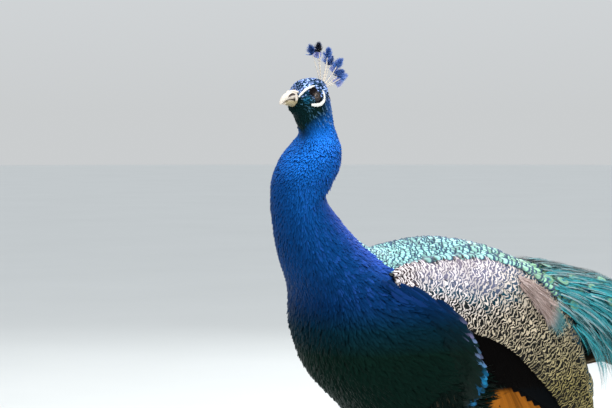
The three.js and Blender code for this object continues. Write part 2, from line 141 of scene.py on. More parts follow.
def row(points):
    """Side, forward, height in millimetres to the row frame in metres."""
    p = np.asarray(points, float)
    return np.stack([p[..., 0] / 1000, SHIFT_Y - p[..., 1] / 1000, SHIFT_Z + p[..., 2] / 1000], -1)


def table_at(table, s):
    """A smooth row of the table at each s."""
    s = np.asarray(s, float)
    n = len(table) - 1
    i = np.clip(np.floor(s).astype(int), 0, n - 1)
    t = (s - i)[..., None]
    a, b = table[np.maximum(i - 1, 0)], table[i]
    d, e = table[i + 1], table[np.minimum(i + 2, n)]
    a = np.where((i == 0)[..., None], 2 * table[0] - table[1], a)
    e = np.where((i == n - 1)[..., None], 2 * table[n] - table[n - 1], e)
    return 0.5 * (
        2 * b + (d - a) * t + (2 * a - 5 * b + 4 * d - e) * t * t
        + (-a + 3 * b - 3 * d + e) * t**3
    )


def powered(value, power=2 / BODY_ROUND):
    return np.sign(value) * np.abs(value) ** power


def section(table, s, angle, grow=0.0):
    """Points of a section table in millimetres; angle 0 is the back, a quarter turn the left side."""
    s, angle, grow = np.broadcast_arrays(s, angle, grow)
    bf, bz, ff, fz, w = np.moveaxis(table_at(table, s), -1, 0)
    u, v = powered(np.cos(angle)), powered(np.sin(angle))
    half = np.hypot(bf - ff, bz - fz) / 2
    k = u * (1 + grow / half)
    return np.stack(
        [v * (w + grow), (bf + ff) / 2 + k * (bf - ff) / 2, (bz + fz) / 2 + k * (bz - fz) / 2], -1
    )


def side_on(forward, height):
    """How far out the wing shell is at each place."""
    w, c, h = (np.interp(forward, SHELL[:, 0], SHELL[:, k]) for k in (1, 2, 3))
    q = np.abs((height - c) / h)
    return w * np.maximum(1 - q**BODY_ROUND, 0.04) ** (1 / BODY_ROUND)


def unit(v):
    return v / np.maximum(np.linalg.norm(v, axis=-1, keepdims=True), 1e-12)


def lie_of(surface, s, angle):
    """Place, outward normal and rearward direction of a surface(s, angle) in metres."""
    p = surface(s, angle)
    ds = surface(s + 0.02, angle) - surface(s - 0.02, angle)
    da = surface(s, angle + 0.02) - surface(s, angle - 0.02)
    n = unit(np.cross(da, ds))
    return p, n, unit(ds)


def body(s, angle, grow=0.0):
    return row(section(BODY, s, angle, grow))


def coat_depth(s):
    """How far the skin lies under the coat's outer face, in millimetres."""
    return np.interp(
        s, (0, 3, 5, 6, 7.5, 10, 12, 15, 20, 24, 28, 29.5, 31),
        (0.9, 1.0, 1.3, 2.0, 2.8, 3.4, 5.0, 7.5, 9.0, 9.0, 7.0, 4.0, 1.5),
    )


def tint(name, k=1.0):
    """A colour from the panel, made lighter or darker."""
    return tuple(c * k for c in getattr(bpy.context.scene.peafowl_colours, name))


def measure(name):
    """A size from the panel."""
    return getattr(bpy.context.scene.peafowl_sizes, name)


# ---- nodes, for materials and for laying feathers -------------------------------


class Signal:
    """A socket, so that sums on values read as plain sums."""

    def __init__(self, tree, socket):
        self.tree, self.socket = tree, socket

    def __add__(self, other):
        return self.tree.sum("ADD", self, other)

    __radd__ = __add__

    def __sub__(self, other):
        return self.tree.sum("SUBTRACT", self, other)

    def __rsub__(self, other):
        return self.tree.sum("SUBTRACT", other, self)

    def __mul__(self, other):
        return self.tree.sum("MULTIPLY", self, other)

    __rmul__ = __mul__

    def __truediv__(self, other):
        return self.tree.sum("DIVIDE", self, other)

    def __pow__(self, other):
        return self.tree.sum("POWER", self, other)

    def __abs__(self):
        return self.tree.sum("ABSOLUTE", self)


class Nodes:
    """A node tree, with one way to add a node."""

    def __init__(self, tree):
        self.tree = tree
        tree.nodes.clear()

    def add(self, kind, settings=None, inputs=None, output=0):
        node = self.tree.nodes.new(kind)
        for name, value in (settings or {}).items():
            if name == "stops":
                ramp = node.color_ramp
                while len(ramp.elements) < len(value):
                    ramp.elements.new(1.0)
                for element, (place, colour) in zip(ramp.elements, value):
                    element.position = place
                    element.color = (*colour, 1.0) if len(colour) == 3 else colour
            else:
                setattr(node, name, value)
        for key, value in (inputs or {}).items():
            socket = node.inputs[key]
            if isinstance(value, Signal):
                self.tree.links.new(value.socket, socket)
            elif isinstance(value, tuple) and len(value) == 3 and socket.type == "RGBA":
                socket.default_value = (*value, 1.0)
            else:
                socket.default_value = value
        return Signal(self, node.outputs[output] if len(node.outputs) else None)

    def sum(self, operation, *values):
        return self.add("ShaderNodeMath", {"operation": operation}, dict(enumerate(values)))

    def out(self, signal, name):
        """Another output of the same node."""
        return Signal(self, signal.socket.node.outputs[name])

    def mix(self, factor, a, b, blend="MIX"):
        return self.add(
            "ShaderNodeMix", {"data_type": "RGBA", "blend_type": blend}, {0: factor, 6: a, 7: b}, 2
        )

    def vector(self, operation, a, b=(0.0, 0.0, 0.0), output=0):
        return self.add("ShaderNodeVectorMath", {"operation": operation}, {0: a, 1: b}, output)

    def split(self, vector):
        x = self.add("ShaderNodeSeparateXYZ", {}, {0: vector})
        return x, self.out(x, 1), self.out(x, 2)

    def join(self, x=0.0, y=0.0, z=0.0):
        return self.add("ShaderNodeCombineXYZ", {}, {0: x, 1: y, 2: z})

    def ramp(self, value, stops):
        return self.add("ShaderNodeValToRGB", {"stops": stops}, {0: value})

    def step(self, value, low, high):
        """0 below low, 1 above high, smooth between."""
        return self.add(
            "ShaderNodeMapRange", {"interpolation_type": "SMOOTHSTEP"}, {0: value, 1: low, 2: high}
        )

    def noise(self, vector, scale, detail=2.0, rough=0.5):
        return self.add(
            "ShaderNodeTexNoise", {},
            {"Vector": vector, "Scale": scale, "Detail": detail, "Roughness": rough},
        )


class Finish(Nodes):
    """One material."""

    def __init__(self, name):
        self.material = bpy.data.materials.new(name)
        self.material.use_nodes = True
        super().__init__(self.material.node_tree)

    def object_place(self):
        return self.add("ShaderNodeTexCoord", {}, {}, "Object")

    def vane(self):
        """Across and along one feather, each from 0 to 1."""
        x, y, _ = self.split(self.add("ShaderNodeUVMap", {"uv_map": "Vane"}, {}))
        return x, y

    def place(self):
        """Along the bird, round it, and a chance number, each from 0 to 1."""
        return self.split(self.add("ShaderNodeAttribute", {"attribute_name": "place"}, {}, "Vector"))

    def height(self):
        """Height above the floor in millimetres."""
        return (self.split(self.object_place())[2] - SHIFT_Z) * 1000.0

    def spot(self, forward, high, inner, outer):
        """1 near a place on the side of the bird, 0 away from it; all in millimetres."""
        _, y, z = self.split(self.object_place())
        df, dz = (SHIFT_Y - y) * 1000.0 - forward, (z - SHIFT_Z) * 1000.0 - high
        return 1 - self.step((df * df + dz * dz) ** 0.5, inner, outer)

    def barbs(self, slant, scale, distortion=0.5):
        """Fine barbs that leave the shaft at a slant."""
        across, up = self.vane()
        return self.add(
            "ShaderNodeTexWave", {"bands_direction": "X"},
            {"Vector": self.join(abs(across - 0.5) + up * slant), "Scale": scale, "Distortion": distortion},
        )

    def bump(self, height, strength, distance):
        return self.add(
            "ShaderNodeBump", {}, {"Height": height, "Strength": strength, "Distance": distance}
        )

    def surface(self, **values):
        names = {name: name.replace("_", " ").title().replace("Ior", "IOR") for name in values}
        shader = self.add(
            "ShaderNodeBsdfPrincipled", {}, {names[name]: value for name, value in values.items()}
        )
        self.add("ShaderNodeOutputMaterial", {}, {"Surface": shader})
        return self.material


# ---- plain meshes ---------------------------------------------------------------


def mesh_piece(name, points, faces, uv=None, material=None, link=True):
    """A mesh from points and faces, with an optional corner map called Vane or OFBake."""
    mesh = bpy.data.meshes.new(name)
    mesh.from_pydata([tuple(p) for p in np.asarray(points, float)], [], faces)
    for title, values in (uv or {}).items():
        layer = mesh.uv_layers.new(name=title)
        layer.data.foreach_set("uv", np.asarray(values, np.float32).ravel())
    mesh.polygons.foreach_set("use_smooth", [True] * len(mesh.polygons))
    mesh.validate()
    mesh.update()
    piece = bpy.data.objects.new(name, mesh)
    if material:
        mesh.materials.append(material)
    if link:
        bpy.context.scene.collection.objects.link(piece)
    return piece


def ring_faces(count, k, closed=True):
    """Quads between rings, and their place along and round for a map."""
    faces, maps = [], []
    for i in range(count - 1):
        for j in range(k if closed else k - 1):
            n = (j + 1) % k
            faces.append((i * k + j, i * k + n, (i + 1) * k + n, (i + 1) * k + j))
            u, v = i / (count - 1), (i + 1) / (count - 1)
            p, q = j / k, (j + 1) / k
            maps += [(u, p), (u, q), (v, q), (v, p)]
    return faces, maps


def lofted(name, rings, material):
    """A closed skin through rings of equal point count, turned to face outwards."""
    rings = np.asarray(rings, float)
    count, k = rings.shape[:2]
    points = rings.reshape(-1, 3)
    faces, maps = ring_faces(count, k)
    points = np.concatenate([points, [rings[0].mean(0), rings[-1].mean(0)]])
    first, last = count * k, (count - 1) * k
    for j in range(k):
        n = (j + 1) % k
        faces += [(first, n, j), (first + 1, last + j, last + n)]
        maps += [(0, 0.5), (0, (j + 1) / k), (0, j / k), (1, 0.5), (1, j / k), (1, (j + 1) / k)]
    corners = [points[list(f[:3])] for f in faces]
    volume = sum(np.dot(a, np.cross(b, c)) for a, b, c in corners)
    volume += sum(np.dot(points[f[0]], np.cross(points[f[2]], points[f[3]])) for f in faces if len(f) == 4)
    if volume < 0:
        flat, at = [], 0
        for f in faces:
            flat += maps[at:at + len(f)][::-1]
            at += len(f)
        faces, maps = [f[::-1] for f in faces], flat
    return mesh_piece(name, points, faces, {"OFBake": maps}, material)


def fine_path(points, radii, steps):
    """A smooth path and radius through a few points."""
    table = np.column_stack([np.asarray(points, float), radii])
    fine = table_at(table, np.linspace(0, len(table) - 1, (len(table) - 1) * steps + 1))
    return fine[:, :3], fine[:, 3]


def all_round(k):
    return np.linspace(0, 2 * math.pi, k, endpoint=False)


def sheet(rows, columns):
    """Two grids of values, each side given as first, last and count."""
    return np.meshgrid(np.linspace(*rows), np.linspace(*columns), indexing="ij")


def lifted(back, out, lift):
    """A feather's lie and face when it is lifted from back towards out."""
    return back * np.cos(lift) + out * np.sin(lift), out * np.cos(lift) - back * np.sin(lift)


def cells(count):
    """The middles of the cells of a square map, one for each feather, and cells to a side."""
    n, side = np.arange(count), int(math.ceil(math.sqrt(count)))
    return np.column_stack([(n % side + 0.5) / side, (n // side + 0.5) / side]), side


def tube_rings(points, radii, k):
    """Round rings along a path."""
    p = np.asarray(points, float)
    r = np.broadcast_to(np.asarray(radii, float), len(p))
    t = unit(np.gradient(p, axis=0))
    s = np.array((1.0, 0.0, 0.0))
    u = unit(s - t * (t @ s)[:, None])
    v = np.cross(t, u)
    a = all_round(k)
    return (
        p[:, None] + (r[:, None] * np.cos(a))[..., None] * u[:, None]
        + (r[:, None] * np.sin(a))[..., None] * v[:, None]
    )


def merged(name, pieces):
    """Several meshes made one, with their maps kept."""
    base = pieces[0]
    if len(pieces) > 1:
        with bpy.context.temp_override(
            active_object=base, selected_editable_objects=pieces, selected_objects=pieces
        ):
            bpy.ops.object.join()
    base.name = base.data.name = name
    return base


# ---- feathers -------------------------------------------------------------------


def vane_shape(name, columns, rows, outline, camber=0.1, curl=0.0, ragged=0.0, seed=1):
    """One unit feather: length 1 along Y, width 1 across X at its widest, curved like a vane."""
    rng = np.random.default_rng(seed)
    v = np.linspace(0, 1, rows + 1)
    half = np.interp(v, *zip(*outline)) / 2
    points, uv = [], []
    for i, along in enumerate(v):
        for j in range(columns + 1):
            across = 2 * j / columns - 1
            reach = along
            if ragged and abs(across) > 0.9 and 0 < i < rows:
                across *= 1 + ragged * rng.uniform(-1, 0.6)
            if i == rows:
                reach = along - 0.05 * across * across
            x = across * half[i]
            points.append((x, reach, -camber * (2 * x) ** 2 + curl * along * along))
            uv.append((0.5 + 0.5 * (2 * j / columns - 1), along))
    faces, maps = [], []
    w = columns + 1
    for i in range(rows):
        for j in range(columns):
            face = (i * w + j, i * w + j + 1, (i + 1) * w + j + 1, (i + 1) * w + j)
            faces.append(face)
            maps += [uv[c] for c in face]
    return mesh_piece(name, points, faces, {"Vane": maps}, link=False)


def blade_shape(name, blades, segments, spread, thick, bow=0.12, seed=1):
    """A small tuft of tapering blades that fan out from one root."""
    rng = np.random.default_rng(seed)
    points, faces, maps = [], [], []
    for b in range(blades):
        lean = 2 * b / (blades - 1) - 1
        length = 1 - 0.25 * abs(lean) * rng.uniform(0.4, 1.3)
        roll = rng.uniform(-0.6, 0.6)
        start = len(points)
        for i in range(segments + 1):
            t = i / segments
            x = spread * lean * (0.25 + 0.75 * t**0.8) + 0.05 * math.sin(5 * t + b)
            z = bow * math.sin(math.pi * min(t * 1.1, 1)) - 0.03 * b % 0.05
            w = thick * (1 - t) ** 0.6 * (0.7 + 0.6 * math.sin(math.pi * min(t + 0.2, 1)))
            for half in ((-w, w) if i < segments else (0.0,)):
                points.append((x + half * math.cos(roll), length * t, z + half * math.sin(roll)))
        for i in range(segments):
            a = start + 2 * i
            last = i == segments - 1
            faces.append((a, a + 1, a + 2) if last else (a, a + 1, a + 3, a + 2))
            u = 0.5 + 0.45 * lean
            low, high = i / segments, (i + 1) / segments
            maps += [(u - 0.04, low), (u + 0.04, low)]
            maps += [(u, 1.0)] if last else [(u + 0.04, high), (u - 0.04, high)]
    return mesh_piece(name, points, faces, {"Vane": maps}, link=False)


def flock(name, shapes):
    """A hidden collection of feather shapes, in order."""
    group = bpy.data.collections.new(name)
    for i, shape in enumerate(shapes):
        shape.name = f"{name}_{i:02d}"
        group.objects.link(shape)
    return group


def laying_tree():
    """Lays one feather on each point: turned to its lie, sized, draped and mapped."""
    tree = bpy.data.node_groups.new("lay_feathers", "GeometryNodeTree")
    g = Nodes(tree)
    face = tree.interface
    for title, kind in (
        ("Roots", "NodeSocketGeometry"), ("Feathers", "NodeSocketCollection"),
        ("Patch", "NodeSocketFloat"), ("Drape", "NodeSocketBool"), ("Guide", "NodeSocketObject"),
        ("Fall", "NodeSocketVector"), ("Finish", "NodeSocketMaterial"),
    ):
        face.new_socket(title, in_out="INPUT", socket_type=kind)
    face.new_socket("Coat", in_out="OUTPUT", socket_type="NodeSocketGeometry")
    roots = g.add("NodeGroupInput")
    feathers, patch, drape = g.out(roots, "Feathers"), g.out(roots, "Patch"), g.out(roots, "Drape")
    guide, fall, finish = g.out(roots, "Guide"), g.out(roots, "Fall"), g.out(roots, "Finish")

    def named(title, kind="FLOAT_VECTOR"):
        return g.add("GeometryNodeInputNamedAttribute", {"data_type": kind}, {"Name": title}, "Attribute")

    turn = g.add(
        "FunctionNodeAxesToRotation", {"primary_axis": "Z", "secondary_axis": "Y"},
        {"Primary Axis": named("up"), "Secondary Axis": named("lie")},
    )
    shapes = g.add(
        "GeometryNodeCollectionInfo", {},
        {"Collection": feathers, "Separate Children": True, "Reset Children": True},
    )
    laid = g.add(
        "GeometryNodeInstanceOnPoints", {},
        {
            "Points": roots, "Instance": shapes, "Pick Instance": True,
            "Instance Index": named("kind", "INT"), "Rotation": turn, "Scale": named("size"),
        },
    )
    real = g.add("GeometryNodeRealizeInstances", {}, {"Geometry": laid})
    here = g.add("GeometryNodeInputPosition")
    rise = g.vector("DOT_PRODUCT", here, fall, "Value") * -1.0
    far = g.vector("SUBTRACT", here, fall)
    ray = g.add(
        "GeometryNodeRaycast", {},
        {
            "Target Geometry": g.add("GeometryNodeObjectInfo", {}, {"Object": guide}, "Geometry"),
            "Source Position": far, "Ray Direction": fall, "Ray Length": 3.0,
        },
    )
    lifted = g.add("ShaderNodeVectorMath", {"operation": "SCALE"}, {0: fall, "Scale": rise * -1.0})
    draped = g.add(
        "GeometryNodeSetPosition", {},
        {
            "Geometry": real, "Selection": ray,
            "Position": g.vector("ADD", g.out(ray, "Hit Position"), lifted),
        },
    )
    chosen = g.add(
        "GeometryNodeSwitch", {"input_type": "GEOMETRY"}, {"Switch": drape, "False": real, "True": draped}
    )
    shift = g.vector("SUBTRACT", named("Vane"), (0.5, 0.5, 0.0))
    spread = g.add("ShaderNodeVectorMath", {"operation": "SCALE"}, {0: shift, "Scale": patch})
    mapped = g.add(
        "GeometryNodeStoreNamedAttribute", {"data_type": "FLOAT2", "domain": "CORNER"},
        {"Geometry": chosen, "Name": "OFBake", "Value": g.vector("ADD", named("root_uv"), spread)},
    )
    done = g.add("GeometryNodeSetMaterial", {}, {"Geometry": mapped, "Material": finish})
    g.add("NodeGroupOutput", {}, {0: done})
    return tree


def laid(name, roots, feathers, finish, patch=0.003, guide=None, fall=(0.0, 0.0, -1.0)):
    """Feathers on the roots, as one plain mesh."""
    count = len(roots["at"])
    mesh = bpy.data.meshes.new(name + "_roots")
    mesh.vertices.add(count)
    mesh.vertices.foreach_set("co", np.asarray(roots["at"], np.float32).ravel())
    for title in ("lie", "up", "size", "root_uv", "place"):
        attribute = mesh.attributes.new(title, "FLOAT_VECTOR", "POINT")
        values = np.asarray(roots[title], np.float32)
        if values.shape[1] == 2:
            values = np.column_stack([values, np.zeros(count, np.float32)])
        attribute.data.foreach_set("vector", values.ravel())
    kinds = mesh.attributes.new("kind", "INT", "POINT")
    kinds.data.foreach_set("value", np.arange(count, dtype=np.int32) % len(feathers.objects))
    carrier = bpy.data.objects.new(name + "_roots", mesh)
    bpy.context.scene.collection.objects.link(carrier)
    modifier = carrier.modifiers.new("lay", "NODES")
    tree = kept(laying_tree)
    modifier.node_group = tree
    keys = {item.name: item.identifier for item in tree.interface.items_tree if item.in_out == "INPUT"}
    settings = {
        "Feathers": feathers, "Patch": patch, "Drape": guide is not None, "Guide": guide,
        "Fall": fall, "Finish": finish,
    }
    for title, value in settings.items():
        if value is not None:
            modifier[keys[title]] = value
    depsgraph = bpy.context.evaluated_depsgraph_get()
    plain = bpy.data.meshes.new_from_object(
        carrier.evaluated_get(depsgraph), preserve_all_data_layers=True, depsgraph=depsgraph
    )
    bpy.data.objects.remove(carrier)
    if len(plain.polygons) == 0:
        raise RuntimeError(f"{name} came out empty")
    for title in ("lie", "up", "size", "root_uv", "kind"):
        if title in plain.attributes:
            plain.attributes.remove(plain.attributes[title])
    plain.name = name
    piece = bpy.data.objects.new(name, plain)
    bpy.context.scene.collection.objects.link(piece)
    return piece


def scattered(surface, s_range, a_range, spacing, seed, keep=None, tries=9):
    """Even chance places on surface(s, angle), no two nearer than spacing(s, angle) in metres."""
    rng = np.random.default_rng(seed)
    gs, ga = sheet((*s_range, 60), (*a_range, 60))
    cell = np.linalg.norm(
        np.cross(
            surface(gs + 0.01, ga) - surface(gs - 0.01, ga),
            surface(gs, ga + 0.01) - surface(gs, ga - 0.01),
        ), axis=-1,
    ) / 0.0004
    want = cell / np.maximum(spacing(gs, ga), 1e-4) ** 2
    area = want.mean() * (s_range[1] - s_range[0]) * (a_range[1] - a_range[0])
    count = int(area * tries)
    s, a = rng.uniform(*s_range, count * 3), rng.uniform(*a_range, count * 3)
    i = ((s - s_range[0]) / (s_range[1] - s_range[0]) * 59).round().astype(int)
    j = ((a - a_range[0]) / (a_range[1] - a_range[0]) * 59).round().astype(int)
    chosen = rng.uniform(0, want.max(), len(s)) < want[i, j]
    s, a = s[chosen][:count], a[chosen][:count]
    if keep is not None:
        inside = keep(s, a)
        s, a = s[inside], a[inside]
    p, gap = surface(s, a), spacing(s, a)
    size = gap.max()
    cells, taken = {}, []
    keys = np.floor(p / size).astype(int)
    near = [(x, y, z) for x in (-1, 0, 1) for y in (-1, 0, 1) for z in (-1, 0, 1)]
    for n, (key, at, reach) in enumerate(zip(map(tuple, keys.tolist()), p.tolist(), gap.tolist())):
        limit, clear = reach * reach, True
        for dx, dy, dz in near:
            for ox, oy, oz in cells.get((key[0] + dx, key[1] + dy, key[2] + dz), ()):
                if (ox - at[0]) ** 2 + (oy - at[1]) ** 2 + (oz - at[2]) ** 2 < limit:
                    clear = False
                    break
            if not clear:
                break
        if clear:
            cells.setdefault(key, []).append(at)
            taken.append(n)
    return s[taken], a[taken]


def on_body(s, a, length, width, depth, seed, s_span=(0.0, LAST), droop=0.0, stray=0.12, rise=0.9):
    """Roots for tufts on the body's own surface, lying back along it."""
    rng = np.random.default_rng(seed)
    p, n, t = lie_of(body, s, a)
    length = np.broadcast_to(length, s.shape) * rng.uniform(0.85, 1.15, s.shape)
    width = np.broadcast_to(width, s.shape) * rng.uniform(0.85, 1.15, s.shape)
    deep = np.broadcast_to(depth, s.shape)
    side = np.cross(n, t)
    t = t + side * rng.normal(0, stray, s.shape)[:, None]
    t[:, 2] -= droop
    t = unit(t - n * np.sum(t * n, -1)[:, None])
    lift = np.arcsin(np.clip(deep / length * rise, 0, 0.8))[:, None]
    lie, up = lifted(t, n, lift)
    up = unit(up + side * rng.normal(0, 0.13, s.shape)[:, None])
    u = 0.01 + 0.98 * (s - s_span[0]) / (s_span[1] - s_span[0])
    v = 0.01 + 0.98 * ((a / (2 * math.pi)) % 1.0)
    return {
        "at": p - n * deep[:, None],
        "lie": lie,
        "up": up,
        "size": np.column_stack([width, length, length]),
        "root_uv": np.column_stack([u, v]),
        "place": np.column_stack([s / LAST, turned(a) / math.pi, rng.uniform(0, 1, s.shape)]),
    }


# ---- finishes -------------------------------------------------------------------


def grey(f, value):
    return f.join(value, value, value)


def plumage_finish(name, glint=0.0):
    """Silky blue and green of head, neck, breast and belly, alike on skin and coat, with painted shade at
    each tuft's root, painted glints on the crown and, where glint is given, painted glints on the breast's
    edge.
    """
    f = Finish(name)
    along, round_body, chance = f.place()
    level = (f.height() - 300.0) / 560.0
    back = f.ramp(level, (
        (0.00, tint("belly")), (0.24, tint("belly")), (0.33, tint("neck", 0.14)),
        (0.41, tint("neck", 0.62)), (0.49, tint("nape")), (0.62, tint("nape")),
        (0.72, tint("neck", 0.85)), (0.80, tint("neck", 1.1)), (0.90, tint("neck", 0.75)),
        (0.96, tint("crown", 0.3)), (1.00, tint("crown", 0.45)),
    ))
    front = f.ramp(level + (round_body - 0.7) * f.step(level, 0.7, 0.8) * 0.10, (
        (0.00, tint("belly")), (0.24, tint("belly", 1.4)), (0.31, (0.0012, 0.018, 0.032)),
        (0.38, tint("neck", 0.19)), (0.47, tint("neck", 0.30)), (0.58, tint("neck", 0.40)),
        (0.70, tint("neck", 0.60)), (0.79, tint("neck", 1.05)), (0.835, tint("neck", 0.9)),
        (0.872, tint("throat", 1.3)), (0.93, tint("throat")), (0.965, tint("crown", 0.3)),
    ))
    colour = f.mix(f.step(round_body, 0.22, 0.52), back, front)
    crown = f.step(level + (0.5 - round_body) * 0.05, 0.918, 0.945)
    # The crown's tufts run at random from near black to pale lavender: painted glints and painted shade of
    # the curled, glossy tufts over their own blue.
    crown_glints = f.ramp(chance, (
        (0.0, (0.002, 0.008, 0.025)), (0.42, (0.008, 0.05, 0.10)), (0.62, tint("crown", 0.4)),
        (1.0, tint("crown", 1.15)),
    ))
    lilac = f.step(chance, 0.72, 0.9) * f.step(level, 0.842, 0.86) * (1 - f.step(round_body, 0.6, 0.8))
    colour = f.mix(lilac * 0.7, colour, f.mix(round_body, tint("crown", 0.5), (0.01, 0.14, 0.18)))
    colour = f.mix(crown, colour, crown_glints)
    teal = f.mix(chance, (0.002, 0.02, 0.04), (0.010, 0.12, 0.22))
    colour = f.mix(f.spot(259, 816.5, 4, 8) * 0.9, colour, teal)
    colour = f.mix(f.spot(247.5, 829, 6.5, 8.5), colour, (0.006, 0.005, 0.006))
    colour = f.mix(f.spot(240, 816, 5, 8), colour, (0.006, 0.006, 0.012))
    # Each tuft is darker at its root and lighter towards its tip: painted shade under the overlapping tufts
    # and painted light on their tips, with a random tone per tuft.
    up = f.vane()[1]
    light = (chance * 0.3 + 0.85) * (up * 0.35 + 0.8)
    colour = f.mix(1.0, colour, grey(f, light), "MULTIPLY")
    violet = f.step(chance, 0.6, 1.0) * f.step(level, 0.34, 0.42) * (1 - f.step(level, 0.8, 0.9))
    colour = f.mix(violet * (0.55 - round_body * 0.6), colour, tint("nape", 1.2))
    if not glint:
        green = f.mix(chance, (0.012, 0.07, 0.03), (0.05, 0.14, 0.03))
        colour = f.mix(f.step(along, 0.66, 0.74), colour, green)
    else:
        # Painted glints: azure lower down and lavender higher up, on the tips of the outer breast feathers
        # that lap over the wing.
        shine = f.step(up, 0.3, 0.9) * f.step(along, 0.3, 0.8) * (1 - f.step(level, 0.26, 0.37)) * glint
        edge = f.ramp(level + (chance - 0.5) * 0.12, (
            (0.10, (0.005, 0.12, 0.30)), (0.17, (0.01, 0.30, 0.62)), (0.22, (0.22, 0.34, 0.62)),
            (0.30, (0.34, 0.30, 0.56)),
        ))
        colour = f.mix(shine, colour, edge)
    grain = f.noise(f.object_place(), 420.0)
    return f.surface(
        base_color=colour, metallic=0.85, roughness=0.42 + grain * 0.16,
        normal=f.bump(grain, 0.2, 0.0008), specular_ior_level=0.12,
    )


def mantle_finish():
    """Mint and turquoise scale feathers with a dark rim, partly their own dark edge and partly painted shadow
    between the scales, and a dark root that is painted shade under the overlapping scales.
    """
    f = Finish("mantle_scales")
    along, _, chance = f.place()
    across, up = f.vane()
    side = abs(across * 2.0 - 1.0)
    tip = f.step(up, 0.45, 1.0)
    reach = (side * side * 0.85 + tip * tip) ** 0.5
    ground = f.ramp(along, (
        (0.35, tint("mantle", 0.9)), (0.42, tint("mantle", 1.25)), (0.50, tint("mantle", 1.2)),
        (0.56, (0.30, 0.60, 0.40)), (0.64, (0.20, 0.42, 0.18)),
    ))
    # Dark root: painted shade where each scale lies under the ones before it.
    colour = f.mix(f.step(up, 0.2, 0.6), tint("mantle", 0.10), ground)
    # Dark rim: the scale's own dark edge, deepened as painted shadow in the gaps between the scales.
    colour = f.mix(f.step(reach, 0.62, 0.86), colour, tint("mantle_rim"))
    colour = f.mix(1.0, colour, grey(f, chance * 0.9 + 0.6), "MULTIPLY")
    barbs = f.barbs(0.9, 9.0)
    return f.surface(
        base_color=colour, metallic=0.4, roughness=0.36 + barbs * 0.12,
        normal=f.bump(barbs, 0.35, 0.0006),
    )


def barred_finish():
    """Pale feathers crossed by broken, arching bars: lavender above, teal lower, black behind."""
    f = Finish("barred_coverts")
    along, low, chance = f.place()
    across, up = f.vane()
    side = across * 2.0 - 1.0
    here = f.object_place()
    wander = f.noise(here, 105.0, 1.0) * 15.0 + f.noise(here, 330.0, 1.0) * 3.0
    turns = 6.28 / (1000 * measure("bar_gap"))
    wave = f.sum("SINE", up * (along * 17.0 + 18.0) * turns + side * side * 3.0 + wander + chance * 6.0)
    bars = f.step(wave + low * 0.5 + along * 0.2, 0.0, 0.24)
    ground = f.ramp(low * 0.35 + along, (
        (0.0, tint("bar_light")), (0.4, tint("bar_light", 0.95)), (0.65, (0.56, 0.48, 0.36)),
        (1.0, (0.31, 0.26, 0.10)),
    ))
    ground = f.mix(1.0, ground, grey(f, chance * 0.5 + 0.75), "MULTIPLY")
    dark = f.ramp(low + f.step(along, 0.3, 0.6) * 0.5 + (chance - 0.5) * 0.1, (
        (0.0, (0.20, 0.17, 0.22)), (0.22, (0.16, 0.16, 0.25)), (0.40, (0.06, 0.09, 0.15)),
        (0.52, (0.004, 0.05, 0.08)), (0.64, (0.006, 0.010, 0.012)), (0.8, (0.003, 0.003, 0.003)),
    ))
    dark = f.mix(1 - f.step(along, 0.06, 0.16), dark, (0.045, 0.028, 0.030))
    colour = f.mix(bars, ground, dark)
    # Near black at each feather's root: painted shade where the coverts lie over one another.
    colour = f.mix(f.step(up, 0.0, 0.35), (0.012, 0.011, 0.013), colour)
    barbs = f.barbs(0.9, 12.0, 0.4)
    return f.surface(base_color=colour, roughness=0.6 + barbs * 0.1, specular_ior_level=0.1,
                     normal=f.bump(barbs, 0.3, 0.0006))


def quill_finish(name, root, tip, edge, gloss, above=None, shine=0.06):
    """One colour to another along the vane, barbs in the relief; above is low, high and a colour."""
    f = Finish(name)
    chance = f.place()[2]
    across, up = f.vane()
    colour = f.mix(up, root, tip)
    colour = f.mix(f.step(abs(across * 2.0 - 1.0), 0.8, 1.0) * 0.6, colour, edge)
    colour = f.mix(1.0, colour, grey(f, chance * 0.6 + 0.7), "MULTIPLY")
    barbs = f.barbs(4.0, 10.0, 0.6)
    shaft = 1 - f.step(abs(across - 0.5), 0.012, 0.03)
    colour = f.mix(shaft * 0.3, colour, tuple(min(c * 2 + 0.001, 1) for c in root))
    if above:
        colour = f.mix(f.step(f.height(), above[0], above[1]), colour, above[2])
    return f.surface(base_color=colour, roughness=gloss + barbs * 0.12,
                     normal=f.bump(barbs + shaft * 2.0, 0.3, 0.0008), specular_ior_level=shine)


def plume_finish():
    """Loose teal plumes of the rump, darker along the top of the back, a few pale ones as painted highlights.
    """
    f = Finish("rump_plumes")
    _, round_body, chance = f.place()
    across = f.vane()[0]
    # The pale top of the ramp, on a few plumes, is a painted highlight.
    colour = f.ramp(chance + (across - 0.5) * 0.5, (
        (0.0, (0.002, 0.014, 0.012)), (0.2, tint("plume", 0.4)), (0.45, tint("plume")),
        (0.8, tint("plume", 1.6)), (1.0, (0.40, 0.52, 0.54)),
    ))
    dark = (1 - f.step(round_body, 0.10, 0.26)) * f.step(chance, 0.15, 0.6)
    colour = f.mix(dark * 0.85, colour, (0.004, 0.022, 0.016))
    grain = f.noise(f.object_place(), 300.0)
    return f.surface(base_color=colour, metallic=0.5, roughness=0.38 + grain * 0.2,
                     normal=f.bump(grain, 0.2, 0.0008))


def down_finish():
    """Soft pinkish down that turns teal at its lower end."""
    f = Finish("down_patch")
    along, _, chance = f.place()
    across, up = f.vane()
    colour = f.ramp(chance * 0.6 + across * 0.4, (
        (0.0, (0.10, 0.07, 0.06)), (0.3, (0.36, 0.26, 0.23)), (0.7, (0.58, 0.46, 0.43)),
        (1.0, (0.78, 0.68, 0.66)),
    ))
    colour = f.mix(f.step(along + up * 0.3, 0.8, 1.1) * 0.85, colour, tint("plume", 0.8))
    grain = f.noise(f.object_place(), 400.0)
    return f.surface(base_color=colour, roughness=0.75 + grain * 0.15, specular_ior_level=0.15,
                     normal=f.bump(grain, 0.2, 0.0006))


